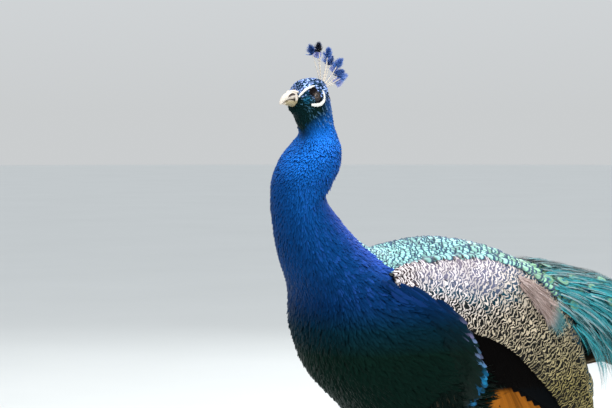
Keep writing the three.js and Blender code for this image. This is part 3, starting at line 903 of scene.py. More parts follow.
def herl_finish():
    """Loose bronze-green barbs of the train."""
    f = Finish("train_herl")
    along, _, chance = f.place()
    up = f.vane()[1]
    colour = f.ramp(chance + (up - 0.5) * 0.3, (
        (0.0, (0.02, 0.11, 0.06)), (0.3, (0.03, 0.20, 0.09)), (0.6, (0.08, 0.20, 0.03)),
        (0.85, (0.16, 0.15, 0.03)), (1.0, (0.03, 0.20, 0.20)),
    ))
    near = 1 - f.step(along + (chance - 0.5) * 0.3, 0.0, 0.6)
    colour = f.mix(near * 0.85, colour, (0.02, 0.26, 0.27))
    grain = f.noise(f.object_place(), 300.0)
    return f.surface(base_color=colour, metallic=0.5, roughness=0.34 + grain * 0.2,
                     normal=f.bump(grain, 0.2, 0.0008))


def crest_finish():
    """Blue, lavender and near black tips of the crest; the palest lavender is a painted highlight."""
    f = Finish("crest_vane")
    chance = f.place()[2]
    up = f.vane()[1]
    # The pale lavender end of the ramp is a painted highlight on the glossy tips.
    colour = f.ramp(chance + (up - 0.5) * 0.25, (
        (0.0, (0.004, 0.006, 0.015)), (0.2, (0.02, 0.07, 0.26)), (0.45, (0.07, 0.19, 0.56)),
        (0.7, tint("crown", 0.8)), (1.0, (0.52, 0.48, 0.78)),
    ))
    grain = f.noise(f.object_place(), 600.0)
    return f.surface(base_color=colour, metallic=0.1, roughness=0.5 + grain * 0.2,
                     normal=f.bump(grain, 0.2, 0.0004))


def eyespot_finish():
    """The ringed eye of a train feather."""
    f = Finish("train_eyespots")
    across, up = f.vane()
    x, y = (across - 0.5) * 2.0, (up - 0.52) * 2.0
    dip = y - (1 - f.step(abs(x), 0.0, 0.22)) * 0.14
    ring = (x * x + y * y) ** 0.5
    heart = (x * x * 1.5 + (dip + 0.06) * (dip + 0.06) * 1.2) ** 0.5
    colour = f.ramp(ring, (
        (0.0, (0.02, 0.30, 0.42)), (0.42, (0.02, 0.34, 0.44)), (0.47, (0.26, 0.16, 0.05)),
        (0.66, (0.30, 0.17, 0.05)), (0.72, (0.30, 0.36, 0.05)), (0.80, (0.10, 0.22, 0.05)),
        (0.88, (0.34, 0.34, 0.08)), (1.0, (0.06, 0.20, 0.06)),
    ))
    colour = f.mix(1 - f.step(heart, 0.24, 0.29), colour, (0.010, 0.012, 0.10))
    barbs = f.barbs(1.2, 16.0, 0.4)
    return f.surface(base_color=colour, metallic=0.5, roughness=0.28 + barbs * 0.15,
                     normal=f.bump(barbs, 0.4, 0.0006))


def mint_finish():
    """Small mint eyes of the rump with a dark heart and a dark rim."""
    f = Finish("rump_eyespots")
    across, up = f.vane()
    x, y = (across - 0.5) * 2.0, (up - 0.6) * 2.2
    ring = (x * x + y * y) ** 0.5
    colour = f.ramp(ring, (
        (0.0, (0.008, 0.02, 0.12)), (0.12, (0.01, 0.05, 0.16)), (0.20, (0.05, 0.34, 0.32)),
        (0.45, (0.14, 0.42, 0.30)), (0.55, (0.28, 0.44, 0.20)), (0.78, (0.16, 0.46, 0.34)),
        (0.88, (0.05, 0.26, 0.22)), (0.96, (0.01, 0.07, 0.06)),
    ))
    barbs = f.barbs(1.2, 16.0, 0.4)
    return f.surface(base_color=colour, metallic=0.4, roughness=0.32 + barbs * 0.15,
                     normal=f.bump(barbs, 0.4, 0.0006))


def horn_finish(name, pale, dark, gloss=0.35):
    """Bill, claws and spurs: streaked horn."""
    f = Finish(name)
    here = f.object_place()
    x, y, z = f.split(here)
    streaks = f.noise(f.join(x * 500.0, y * 60.0, z * 500.0), 1.0, 3.0, 0.6)
    cloud = f.noise(here, 120.0, 3.0, 0.55)
    colour = f.mix(streaks * 0.55 + cloud * 0.25, pale, dark)
    return f.surface(base_color=colour, roughness=gloss + streaks * 0.15,
                     normal=f.bump(streaks, 0.15, 0.0004), specular_ior_level=0.5)


def bill_finish():
    """Horn of the bill: pale above, tan and streaked below, partly the horn's own colour and partly painted
    shade on the lower flank, and dark inside the nostril as painted shade.
    """
    f = Finish("bill_horn")
    x, y, z = f.split(f.object_place())
    ahead, level = (SHIFT_Y - y) * 1000.0, (z - SHIFT_Z) * 1000.0
    streaks = f.noise(f.join(x * 300.0, y * 50.0, z * 900.0), 1.0, 3.0, 0.6)
    # Tan lower part: partly the lower bill's own horn, partly painted shade on the upper bill's lower flank.
    low = (1 - f.step(level, 813.5, 817.0)) * (1 - f.step(ahead, 287.0, 293.0))
    colour = f.mix(low * 0.95, tint("bill"), f.mix(streaks, (0.15, 0.12, 0.045), (0.40, 0.34, 0.17)))
    colour = f.mix(streaks * 0.25, colour, (0.36, 0.28, 0.22))
    # Dark nostril slot: painted shade in the nostril's recess.
    along, high = ahead - NOSTRIL[0], level - NOSTRIL[1] + (ahead - NOSTRIL[0]) * 0.32
    slot = (along * along / 44.0 + (high + along * along * 0.05) ** 2.0 / 4.6) ** 0.5
    colour = f.mix(1 - f.step(slot, 0.75, 1.05), colour, (0.035, 0.016, 0.012))
    root = (1 - f.step(ahead, 269.5, 274.0)) * (1 - f.step(level, 821.0, 827.0))
    colour = f.mix(root * 0.92, colour, (0.10, 0.065, 0.045))
    return f.surface(base_color=colour, roughness=0.36 + streaks * 0.15,
                     normal=f.bump(streaks, 0.2, 0.0004))


def skin_finish(name, pale, shade):
    """Bare skin: fine wrinkles and pores."""
    f = Finish(name)
    here = f.object_place()
    pores = f.add("ShaderNodeTexVoronoi", {"feature": "F1"}, {"Vector": here, "Scale": 900.0})
    cloud = f.noise(here, 160.0, 3.0, 0.6)
    colour = f.mix(cloud * 0.6, pale, shade)
    return f.surface(base_color=colour, roughness=0.5 + cloud * 0.15, specular_ior_level=0.25,
                     normal=f.bump(pores, 0.35, 0.0004))


def scute_finish():
    """Grey-brown scales of shank and foot."""
    f = Finish("leg_scutes")
    here = f.object_place()
    plates = f.add(
        "ShaderNodeTexVoronoi", {"feature": "DISTANCE_TO_EDGE"}, {"Vector": here, "Scale": 260.0}
    )
    seam = f.step(plates, 0.0, 0.10)
    cloud = f.noise(here, 70.0, 3.0, 0.6)
    colour = f.mix(cloud, (0.17, 0.15, 0.12), (0.29, 0.26, 0.21))
    colour = f.mix(seam, (0.06, 0.05, 0.04), colour)
    return f.surface(base_color=colour, roughness=0.48 + cloud * 0.15, normal=f.bump(seam, 0.6, 0.0007))


EYE_AXIS = unit(np.array([0.94, -0.30, 0.10]))


def eye_centre(side):
    return row((side * EYE_SIDE, EYE_FORWARD, EYE_HEIGHT))


NOSTRIL = (280.0, 823.6)


def eye_finish():
    """Brown iris round a black pupil."""
    f = Finish("eye_globe")
    x, y, z = f.split(f.object_place())
    cx, cy, cz = (float(v) for v in eye_centre(1))
    out = f.vector("NORMALIZE", f.join(abs(x) - cx, y - cy, z - cz))
    toward = f.vector("DOT_PRODUCT", out, tuple(float(v) for v in EYE_AXIS), "Value")
    turn = f.sum("ARCCOSINE", toward)
    fibres = f.noise(out, 22.0, 3.0, 0.6)
    iris = f.mix(fibres, (0.03, 0.011, 0.004), (0.10, 0.036, 0.010))
    colour = f.mix(f.step(turn, 0.60, 0.72), iris, (0.008, 0.005, 0.004))
    colour = f.mix(f.step(turn, 0.36, 0.40), (0.001, 0.001, 0.001), colour)
    return f.surface(base_color=colour, roughness=0.07 + fibres * 0.02, coat_weight=1.0,
                     coat_roughness=0.02, ior=1.45)


def ground_finish():
    f = Finish("studio_floor")
    cloud = f.noise(f.object_place(), 1.4, 4.0, 0.6)
    return f.surface(
        base_color=f.mix(cloud, (0.66, 0.67, 0.65), (0.72, 0.73, 0.71)),
        roughness=0.8 + cloud * 0.1,
    )


# ---- shared finishes and feather shapes -----------------------------------------

STORE = {}


def kept(make, *values, **settings):
    """What make gives for these values, made once and kept."""
    key = (make.__name__, values, tuple(settings.items()))
    if key not in STORE:
        STORE[key] = make(*values, **settings)
    return STORE[key]


# Feathers with a vane: columns, rows, width along the vane, camber and curl with
# their change from one shape to the next, raggedness, and how many shapes.
VANES = {
    "curl": (3, 3, ((0, 0.5), (0.4, 1.0), (0.75, 0.9), (1, 0.4)), (0.26, 0.04), (-0.10, 0), 0.1, 3),
    "satin": (
        3, 3, ((0, 0.5), (0.3, 0.92), (0.6, 1.0), (0.85, 0.8), (1, 0.3)), (0.10, 0.02), (0, -0.02), 0.12, 4),
    "scale": (
        4, 6, ((0, 0.35), (0.25, 0.8), (0.55, 1.0), (0.8, 0.88), (0.93, 0.55), (1, 0.18)),
        (0.10, 0.02), (0, -0.03), 0.08, 3),
    "quill": (
        6, 14, ((0, 0.25), (0.15, 0.7), (0.5, 1.0), (0.85, 0.95), (0.95, 0.6), (1, 0.12)),
        (0.05, 0), (-0.02, 0), 0.05, 2),
    "spot": (
        8, 10, ((0, 0.2), (0.15, 0.62), (0.35, 0.92), (0.6, 1.0), (0.8, 0.86), (0.93, 0.52), (1, 0.2)),
        (0.05, 0), (-0.02, 0), 0.06, 2),
}


def vane_flock(name):
    columns, rows, outline, camber, curl, ragged, count = VANES[name]
    return flock(name, [
        vane_shape(
            name, columns, rows, outline, camber[0] + camber[1] * n, curl[0] + curl[1] * n, ragged, n)
        for n in range(count)
    ])


def vaned(name):
    return kept(vane_flock, name)


def silk_flock():
    return flock("silk", [blade_shape("silk", 5, 3, 0.42, 0.07, 0.10, n) for n in range(4)])


def spray_flock(name, blades, thick, seeds):
    return flock(name, [spray(blades, thick, seed) for seed in range(*seeds)])


def plumes():
    return kept(spray_flock, "plume", 9, 0.019, (5, 9))


def finish_piece(piece, slot, *nodes):
    """Rides the piece on the body and hides the solids it stands for; its slot is not used."""
    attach(piece, "root")
    if nodes:
        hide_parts(*nodes)
    return piece


SOLE = SHIFT_Z + 0.0002  # the lowest point of foot and claw
COAT_LOW, COAT_SIDE = 0.0004, 0.232  # how low and how far out feathers may reach


def settled(piece):
    """Keeps a piece above the floor and within the train's width."""
    mesh = piece.data
    p = np.empty(len(mesh.vertices) * 3, np.float32)
    mesh.vertices.foreach_get("co", p)
    p = p.reshape(-1, 3)
    p[:, 0] = p[:, 0].clip(-COAT_SIDE, COAT_SIDE)
    p[:, 2] = np.maximum(p[:, 2], COAT_LOW)
    mesh.vertices.foreach_set("co", p.ravel())
    mesh.update()
    return piece


def guide_mesh(name, points, faces):
    guide = mesh_piece(name, points, faces)
    return guide


def wing_guide(side):
    f, z = sheet((-370, 190, 90), (262, 610, 60))
    points = row(np.stack([side * side_on(f, z), f, z], -1)).reshape(-1, 3)
    return guide_mesh(f"wing_guide_{side}", points, ring_faces(90, 60, closed=False)[0])


def plan_guide(name, surface, s_range, fall, forward, side):
    """One face of a surface as heights over its plan, carried on past its edges."""
    s, a = sheet((*s_range, 220), (0, 2 * math.pi, 121))
    tree = BVHTree.FromPolygons(
        [tuple(p) for p in surface(s, a).reshape(-1, 3)], ring_faces(220, 121, closed=False)[0]
    )
    fs, xs = np.linspace(*forward, 200), np.linspace(-side, side, 81)
    heights = np.full((200, 81), np.nan)
    for i, f in enumerate(fs):
        for j, x in enumerate(xs):
            p = row((x, f, -2000.0 * fall))
            hit = tree.ray_cast(Vector(p), Vector((0, 0, fall)))[0]
            if hit is not None:
                heights[i, j] = (hit.z - SHIFT_Z) * 1000
    rows = np.flatnonzero(~np.isnan(heights).all(1))
    for i in rows:
        good = np.flatnonzero(~np.isnan(heights[i]))
        reach = np.arange(81)
        beyond = np.maximum(good[0] - reach, reach - good[-1]).clip(0)
        heights[i] = np.interp(reach, good, heights[i][good]) - 0.35 * (xs[1] - xs[0]) * beyond
    for i in range(200):
        heights[i] = heights[rows[np.abs(rows - i).argmin()]]
    heights = np.maximum(heights, 3.0)
    ff, xx = np.meshgrid(fs, xs, indexing="ij")
    points = row(np.stack([xx, ff, heights], -1)).reshape(-1, 3)
    return guide_mesh(name, points, ring_faces(200, 81, closed=False)[0])


# ---- the body's skin and coat ---------------------------------------------------


def make_skin():
    s = np.concatenate([
        np.arange(0.25, 6, 0.1), np.arange(6, 20, 0.2), np.arange(20, 30.95, 0.25), [30.95],
    ])
    k = 80
    a = all_round(k)
    gs, ga = np.meshgrid(s, a, indexing="ij")
    p, n, _ = lie_of(body, gs, ga)
    p = p - n * (coat_depth(gs) / 1000)[..., None]
    for side in (1, -1):
        eye = eye_centre(side) + EYE_AXIS * (side, 1, 1) * 0.0055
        d = np.linalg.norm(p - eye, axis=-1)
        p = p - n * (0.0030 * np.clip(1 - d / 0.009, 0, 1) ** 0.7)[..., None]
    skin = lofted("skin", p, kept(plumage_finish, "silky_plumage"))
    place = np.zeros((len(skin.data.vertices), 3), np.float32)
    around = turned(ga) / math.pi
    count = gs.size
    place[:count] = np.stack([gs / LAST, around, np.full_like(gs, 0.25)], -1).reshape(-1, 3)
    place[count:] = ((s[0] / LAST, 0.5, 0.25), (s[-1] / LAST, 0.5, 0.25))
    skin.data.attributes.new("place", "FLOAT_VECTOR", "POINT").data.foreach_set("vector", place.ravel())
    finish_piece(skin, "plumage_blue", *FLESH)


def tufts(name, slot, s_range, a_range, spacing, length, width, depth, shapes, finish, seed,
          keep=None, droop=0.0, stray=0.12, rise=0.9, patch=0.003):
    """One field of the coat; spacing, length and width are metres, or give them at (s, angle)."""
    spacing, length, width = (
        v if callable(v) else lambda s, a, v=v: v + 0 * s for v in (spacing, length, width))
    s, a = scattered(body, s_range, a_range, spacing, seed, keep)
    roots = on_body(s, a, length(s, a), width(s, a), depth(s), seed + 1, s_range, droop, stray, rise)
    return finish_piece(settled(laid(name, roots, shapes, finish, patch)), slot)


def turned(a):
    """The angle from the back, the same on both sides."""
    return np.abs((np.asarray(a) + math.pi) % (2 * math.pi) - math.pi)


def near_face(s, a):
    """Leaves the bill, cere, eyes and bare face clear of tufts."""
    p, _, t = lie_of(body, s, a)
    around = turned(a)
    clear = ~((s < 0.6) & (around > np.interp(s, *CERE_TOP)) & (around < 2.1))
    for side in (1, -1):
        eye = eye_centre(side) + EYE_AXIS * (side, 1, 1) * 0.0065
        clear &= np.linalg.norm(p - eye, axis=-1) > 0.0076
        for line, wide in MARKS:
            path, radii = fine_path(np.array(line) * (side, 1, 1), wide, 4)
            path = row(path)
            for reach in (0, 0.0014, 0.0028):
                d = np.linalg.norm((p + t * reach)[:, None] - path, axis=-1)
                clear &= (d > radii / 1000 + 0.0004).all(1)
    return clear


def make_head_coat():
    finish = kept(plumage_finish, "silky_plumage")
    tufts(
        "head_coat", "plumage_blue", (0.15, 6.2), (0, 2 * math.pi),
        lambda s, a: 0.0015 + 0.0002 * s, lambda s, a: 0.0029 + 0.0009 * s,
        lambda s, a: 0.0023 + 0.0003 * s, lambda s: coat_depth(s) / 1000,
        vaned("curl"), finish, SEED, near_face, stray=0.3, rise=1.3,
    )


def make_neck_coat():
    finish = kept(plumage_finish, "silky_plumage")
    size = measure("neck_feather")
    for name, low, high in (("upper", 5.9, 8.2), ("middle", 8.2, 10.4), ("lower", 10.4, 12.4)):
        tufts(
            f"neck_coat_{name}", "plumage_blue", (low, high), (0, 2 * math.pi),
            lambda s, a: size * (0.52 + 0.055 * (s - 6)), lambda s, a: size * (2.4 + 0.34 * (s - 6)),
            lambda s, a: size * (1 + 0.15 * (s - 6)), lambda s: coat_depth(s) / 1000,
            vaned("satin"), finish, SEED + 10 + int(low),
            keep=lambda s, a: ~mantle_part(s, a), stray=0.09,
        )


def mantle_part(s, a):
    """True where the scale feathers of the back lie."""
    return (s > 11.2) & (turned(a) < np.interp(s, (11.2, 12, 13, 15, 20), (0.25, 0.75, 1.0, 1.15, 1.25)))


def wing_part(s, a):
    """True where the folded wing covers the body."""
    p = body(s, a)
    f, z = -(p[:, 1] - SHIFT_Y) * 1000, (p[:, 2] - SHIFT_Z) * 1000
    order = np.argsort(COVERTS[:, 0])
    top = np.interp(f, COVERTS[order, 0], COVERTS[order, 1])
    low = np.interp(f, COVERTS[order, 2], COVERTS[order, 3])
    return (f < 140) & (z < top - 14) & (z > low + 10) & (np.abs(p[:, 0]) > 0.05)


def make_breast_coat():
    finish = kept(plumage_finish, "silky_plumage")
    tufts(
        "breast_coat", "plumage_blue", (12.4, 16.4), (0.6, 2 * math.pi - 0.6),
        0.0042, 0.024, 0.0095,
        lambda s: coat_depth(s) / 1000, vaned("satin"), finish, SEED + 20,
        keep=lambda s, a: ~mantle_part(s, a) & ~wing_part(s, a), stray=0.12,
    )
    tufts(
        "belly_coat", "plumage_green", (16.4, 21.5), (1.2, 2 * math.pi - 1.2),
        0.0070, 0.032, 0.015,
        lambda s: coat_depth(s) / 1000, kept(silk_flock), finish, SEED + 30,
        keep=lambda s, a: ~wing_part(s, a), stray=0.18,
    )


EDGE = np.array([
    (96, 516), (81, 505), (50, 493), (20, 469), (1, 437), (-22, 405), (-30, 380), (-30, 352), (-20, 326),
])


def make_flank():
    """Breast feathers that lap over the bend of the wing, and the down behind the wing's top."""
    finish = plumage_finish("breast_edge", 0.75)
    down = down_finish()
    rng = np.random.default_rng(SEED + 100)
    inward, q = np.meshgrid(np.arange(0, 62, 5.0), np.linspace(0, len(EDGE) - 1, 46))
    inward, q = inward.ravel(), q.ravel()
    edge = table_at(EDGE, q) + rng.uniform(-4, 4, (len(q), 2))
    edge += inward[:, None] * (0.88, 0.22)
    # How strongly each feather takes the painted glints of the breast's edge, most in the outer rows.
    glow = np.clip(1.1 - inward / 20, 0, 1) * rng.uniform(0.3, 1, len(inward))
    t = rng.uniform(0, 1, 230)
    wide = rng.uniform(-9, 20, 230) * np.sin(np.pi * (0.12 + 0.72 * t))
    patch_line = np.column_stack([-102 - 78 * t - 0.6 * wide, 538 - 66 * t + 0.8 * wide])
    fan = np.column_stack([-24 - 0.3 * wide, -20 + 0.5 * wide - 10 * t])
    for side, label in SIDES:
        guide = wing_guide(side)
        fall = (-float(side), 0.0, 0.0)
        roots, patch = wing_roots(
            side, edge + (27, 18), edge, 0.0115, np.interp(inward, (0, 15, 60), (0.0055, 0.006, 0.002)), 0.05,
            glow, SEED + 101, tilt=0.2,
        )
        piece = laid(f"breast_edge_{label}", roots, vaned("satin"), finish, patch, guide, fall)
        finish_piece(piece, "plumage_blue")
        roots, patch = wing_roots(
            side, patch_line, patch_line + fan + rng.uniform(-7, 7, (230, 2)), 0.017,
            rng.uniform(0.003, 0.010, 230), 0.15, t, SEED + 102, tilt=0.5,
        )
        finish_piece(laid(f"down_patch_{label}", roots, plumes(), down, patch, guide, fall), "wing_barred")
        bpy.data.objects.remove(guide)


def make_rump():
    """Loose plumes and small eyes between the back, the wings and the train."""
    span = (17.4, 22.4)
    reach = measure("rump_plume")

    def out(s, a):
        return np.interp(turned(a), (0.5, 1.2), (0.0005, 0.012)) * np.interp(s, (19.5, 21.5), (1, 0.25))

    s, a = scattered(
        body, span, (-1.9, 1.9), lambda s, a: reach * 0.11 + 0 * s, SEED + 110,
        keep=lambda s, a: (s > np.interp(turned(a), (0.8, 1.2, 1.5, 1.9), (18.3, 18.4, 18.9, 19.7)))
        & (np.sin(s * 91 + a * 37) * 437.5 % 1 < np.interp(s, (20.9, 22.4), (1, 0.15))), tries=6,
    )
    roots = on_body(
        s, a, reach * np.interp(turned(a), (1.3, 1.8), (1, 1.3)), reach * 0.36, -out(s, a),
        SEED + 111, span, np.interp(turned(a), (0.5, 1.2, 1.8), (0.0, 0.6, 1.7)), 0.13,
    )
    finish_piece(laid("rump_plumes", roots, plumes(), plume_finish()), "plumage_green")
    s, a = scattered(
        body, (17.9, 22.3), (-1.25, 1.25), lambda s, a: 0.036 + 0 * s, SEED + 112,
        keep=lambda s, a: turned(a) > 0.35, tries=20)
    roots = on_body(
        s, a, 0.032, 0.021, -out(s, a) - 0.0035, SEED + 113, span,
        np.interp(turned(a), (0.6, 1.7), (0.0, 0.6)), 0.1,
    )
    finish_piece(laid("rump_eyespots", roots, vaned("spot"), mint_finish(), 0.012), "plumage_green")


def make_mantle():
    def size(s, a):
        return measure("mantle_scale") * np.interp(s, (11.2, 13, 16, 19), (0.42, 0.55, 0.85, 1.25))

    tufts(
        "mantle_coat", "plumage_green", (11.2, 19.2), (-1.3, 1.3),
        lambda s, a: size(s, a) * 0.46, lambda s, a: size(s, a) * 1.3,
        size, lambda s: coat_depth(s) / 1000 * 0.85,
        vaned("scale"), kept(mantle_finish), SEED + 40, keep=mantle_part, stray=0.06,
        patch=0.012,
    )
    rng = np.random.default_rng(SEED + 45)
    i, inner = (v.ravel() for v in np.meshgrid(np.arange(0.1, 6.9, 0.14), (0.0, 5.0, 10.0)))
    i, inner = i + rng.uniform(-0.07, 0.07, len(i)), inner + rng.uniform(-1.5, 1.5, len(i))
    edge, ahead = table_at(COVERTS, i)[:, :2], table_at(COVERTS, i + 0.2)[:, :2]
    out = side_on(edge[:, 0], edge[:, 1]) - inner
    size = 0.001 * np.interp(i, (0, 3, 7), (11, 15, 17)) * rng.uniform(0.8, 1.2, len(i))
    for side, label in SIDES:
        place = row(np.column_stack([side * out, edge + (0, 0.6)]))
        lie = unit(row(np.column_stack([side * out, ahead + (0, 0.6)])) - place)
        up = unit(np.array([0.55 * side, 0, 0.84]) + rng.normal(0, 0.07, place.shape))
        s = np.interp(i, (0, 7.5), (13, 18.6))
        roots = {
            "at": place - up * 0.001, "lie": lie + up * 0.12, "up": up - lie * 0.12,
            "size": np.column_stack([size, size * 1.3, size * 1.3]),
            "root_uv": np.column_stack([s / LAST, 0.5 + side * (0.13 + inner / 300)]),
            "place": np.column_stack([s / LAST, np.full(len(s), 0.2), rng.uniform(0, 1, len(s))]),
        }
        piece = laid(f"mantle_edge_{label}", roots, vaned("scale"), kept(mantle_finish), 0.006)
        finish_piece(piece, "plumage_green")


# ---- wings ----------------------------------------------------------------------


def wing_roots(side, start, end, width, out, lift, along, seed, low=0.5, tilt=0.1):
    """Roots in the wing's own plane; out is the distance from the shell in metres."""
    rng = np.random.default_rng(seed)
    start, end = np.asarray(start, float), np.asarray(end, float)
    count = len(start)
    p, q = row(np.column_stack([np.zeros(count), start])), row(np.column_stack([np.zeros(count), end]))
    length = np.linalg.norm(q - p, axis=1)
    d = unit(q - p)
    lift = np.broadcast_to(lift, count)[:, None]
    outward = np.array([side, 0.0, 0.0])
    p[:, 0] = side * np.broadcast_to(out, count)
    cross = np.cross(outward, d)
    lie, up = lifted(d, outward, lift)
    uv, grid = cells(count)
    return {
        "at": p,
        "lie": lie,
        "up": up + cross * rng.normal(0, tilt, count)[:, None],
        "size": np.column_stack([np.broadcast_to(width, count), length, length]),
        "root_uv": uv,
        "place": np.column_stack([np.broadcast_to(along, count), np.broadcast_to(low, count),
                                  rng.uniform(0, 1, count)]),
    }, 0.92 / grid


def covert_field(seed):
    """Places over the barred field: start, end, width, share of the way back and down."""
    rng = np.random.default_rng(seed)
    rows = []
    i = 0.0
    while i < 9.9:
        uf, uz, lf, lz = table_at(COVERTS, i)
        tall = math.hypot(uf - lf, uz - lz)
        size = np.interp(i, (0, 3, 7, 10), (17, 24, 34, 36))
        count = max(3, int(tall / (size * 0.52)))
        odd = len(rows) % 2 * 0.5
        for j in range(count + 1):
            t = np.clip((j + odd + rng.uniform(-0.15, 0.15)) / count, 0.0, 1.0)
            nuf, nuz, nlf, nlz = table_at(COVERTS, min(i + 0.6, 10))
            t2 = np.clip(t + 0.05 + np.interp(i, (0, 2, 4, 7), (0, 0.13, 0.16, 0.03)), 0, 1)
            f, z = uf + (lf - uf) * t, uz + (lz - uz) * t
            g, y = nuf + (nlf - nuf) * t2, nuz + (nlz - nuz) * t2
            d = math.hypot(g - f, y - z)
            k = size * rng.uniform(0.9, 1.15) / max(d, 1)
            rows.append((f, z, f + (g - f) * k, z + (y - z) * k, size * 0.78, i / 10, t))
        i += size * 0.36 / 47.0
    rows = np.array(rows)
    under = rows[:, 0] > np.interp(rows[:, 1], EDGE[::-1, 1], EDGE[::-1, 0], right=999) + 20
    return rows[~under & ((rows[:, 0] < 125) | (rows[:, 3] > 513))]


def make_wings():
    for side, label in SIDES:
        guide = wing_guide(side)
        fall = (-float(side), 0.0, 0.0)
        field = covert_field(SEED + 50)
        middle = np.sin(np.pi * np.clip(field[:, 5] * 0.9 + 0.05, 0, 1)) ** 0.5
        roots, patch = wing_roots(
            side, field[:, :2], field[:, 2:4], field[:, 4] / 1000,
            0.0002 + 0.002 * middle, 0.13, field[:, 5], SEED + 51, field[:, 6],
        )
        coverts = laid(
            f"wing_coverts_coat_{label}", roots, vaned("scale"),
            kept(barred_finish), patch, guide, fall,
        )
        finish_piece(coverts, "wing_barred", f"wing_coverts_{label}")
        for part, table, slot, out, count, wide, colours in (
            ("secondaries", SECONDARIES, "wing_dark", -0.0016, 15, 34,
             ((0.0012, 0.0012, 0.0014), (0.0014, 0.0018, 0.0025), (0.002, 0.004, 0.006), 0.5)),
            ("primaries", PRIMARIES, "wing_rufous", -0.0054, 10, 30,
             ((0.24, 0.078, 0.008), (0.38, 0.125, 0.012), (0.14, 0.04, 0.006), 0.55)),
        ):
            n = len(table) - 1
            t = np.linspace(0, 1, count)
            begin = table_at(table, n * t * 0.72)
            stop = table_at(table, n * np.clip(t * 0.78 + 0.22, 0, 1))
            start = begin[:, :2] * 0.85 + begin[:, 2:] * 0.15
            end = stop[:, 2:] * 0.96 + stop[:, :2] * 0.04
            roots, patch = wing_roots(
                side, start, end, wide / 1000, out - 0.0015 + 0.0022 * (1 - t), 0.006, t, SEED + 60,
                tilt=0.02,
            )
            finish = kept(
                quill_finish, f"wing_{part}", *colours,
                above=(360, 372, (0.0016, 0.0013, 0.0013)), shine=0.01)
            vanes = laid(f"wing_{part}_coat_{label}", roots, vaned("quill"), finish, patch, guide, fall)
            bed = wing_bed(side, f"wing_{part}_bed_{label}", table, out * 1000 - 1.6, finish)
            whole = merged(f"wing_{part}_coat_{label}", [vanes, bed])
            finish_piece(whole, slot, f"wing_{part}_{label}")
        bed = wing_bed(
            side, f"wing_coverts_bed_{label}", COVERTS, 0.0,
            kept(skin_finish, "under_covert", (0.03, 0.026, 0.024), (0.01, 0.01, 0.011)),
        )
        finish_piece(bed, "wing_barred")
        bpy.data.objects.remove(guide)


def wing_bed(side, name, table, out, finish):
    """The thin closed web that a row of wing feathers grows from."""
    n = len(table) - 1
    rings = []
    for s in np.linspace(0.05, n - 0.05, n * 4):
        uf, uz, lf, lz = table_at(table, s)
        edge = np.linspace(0.08, 0.92, 9)
        f, z = uf + (lf - uf) * edge, uz + (lz - uz) * edge
        x = side_on(f, z) + out
        top = np.column_stack([side * x, f, z])
        low = np.column_stack([side * (x - 1.6), f, z])[::-1]
        rings.append(np.concatenate([top, low]))
    return lofted(name, row(np.array(rings)), finish)


# ---- head: bill, eyes, bare skin, crest -----------------------------------------


def head_tree():
    """The head's own smooth face, for what is laid on it."""
    s, a = sheet((0.1, 7, 140), (0, 2 * math.pi, 161))
    return BVHTree.FromPolygons(
        [tuple(p) for p in body(s, a, -0.6).reshape(-1, 3)], ring_faces(140, 161, closed=False)[0]
    )


def on_head(tree, point):
    """The nearest place on the head and its outward normal."""
    place, normal, _, _ = tree.find_nearest(Vector(point))
    inward = Vector(row((0, 235, 815))) - place
    if normal.dot(inward) > 0:
        normal = -normal
    return np.array(place), np.array(normal)


CERE_TOP = ((0, 0.25, 0.45, 0.62), (0.84, 1.02, 1.3, 1.5))


def make_bill():
    finish = bill_finish()
    angle = all_round(72)
    for name, table in (("bill_upper", BILL_UPPER), ("bill_lower", BILL_LOWER)):
        s, a = np.meshgrid(np.linspace(0, len(table) - 1, 8 * len(table)), angle, indexing="ij")
        p = section(table, s, a, -0.15 if name == "bill_upper" else 0.3)
        if name == "bill_upper":
            ahead = p[..., 1] - NOSTRIL[0]
            d = np.hypot(ahead / 5.4, (p[..., 2] - NOSTRIL[1] + ahead * 0.32) / 1.6)
            p[..., 0] -= np.sign(p[..., 0]) * 1.7 * np.clip(1 - d**2, 0, 1)
        finish_piece(lofted(name + "_horn", row(p), finish), "bill", name)
    t, q = sheet((0, 1, 14), (0, 1, 20))
    raised = -1.4 + 1.7 * np.minimum(1, 1.6 * (1 - t)) * np.sin(np.pi * q) ** 0.5
    faces, maps = ring_faces(14, 20, closed=False)
    rim = np.array([
        (4.5, 280.5, 828), (6.2, 275.5, 828.6), (7.8, 271.5, 828.3), (9.4, 268.6, 826.6),
        (10.6, 267.2, 823.8), (11.4, 267.6, 820.5),
    ])
    for side, label in SIDES:
        top = np.interp(t * 0.62, *CERE_TOP)
        points = body(0.02 + 0.6 * t, side * (top + (2.1 - top) * q), raised).reshape(-1, 3)
        cere = mesh_piece(f"cere_{label}", points, faces, {"OFBake": maps}, finish)
        turn_outward(cere, row((0, 262, 818)))
        finish_piece(cere, "bill")
        path, radii = fine_path(rim * (side, 1, 1), (0.5, 1.0, 1.25, 1.3, 1.1, 0.5), 6)
        finish_piece(lofted(f"cere_rim_{label}", row(tube_rings(path, radii, 12)), finish), "bill")


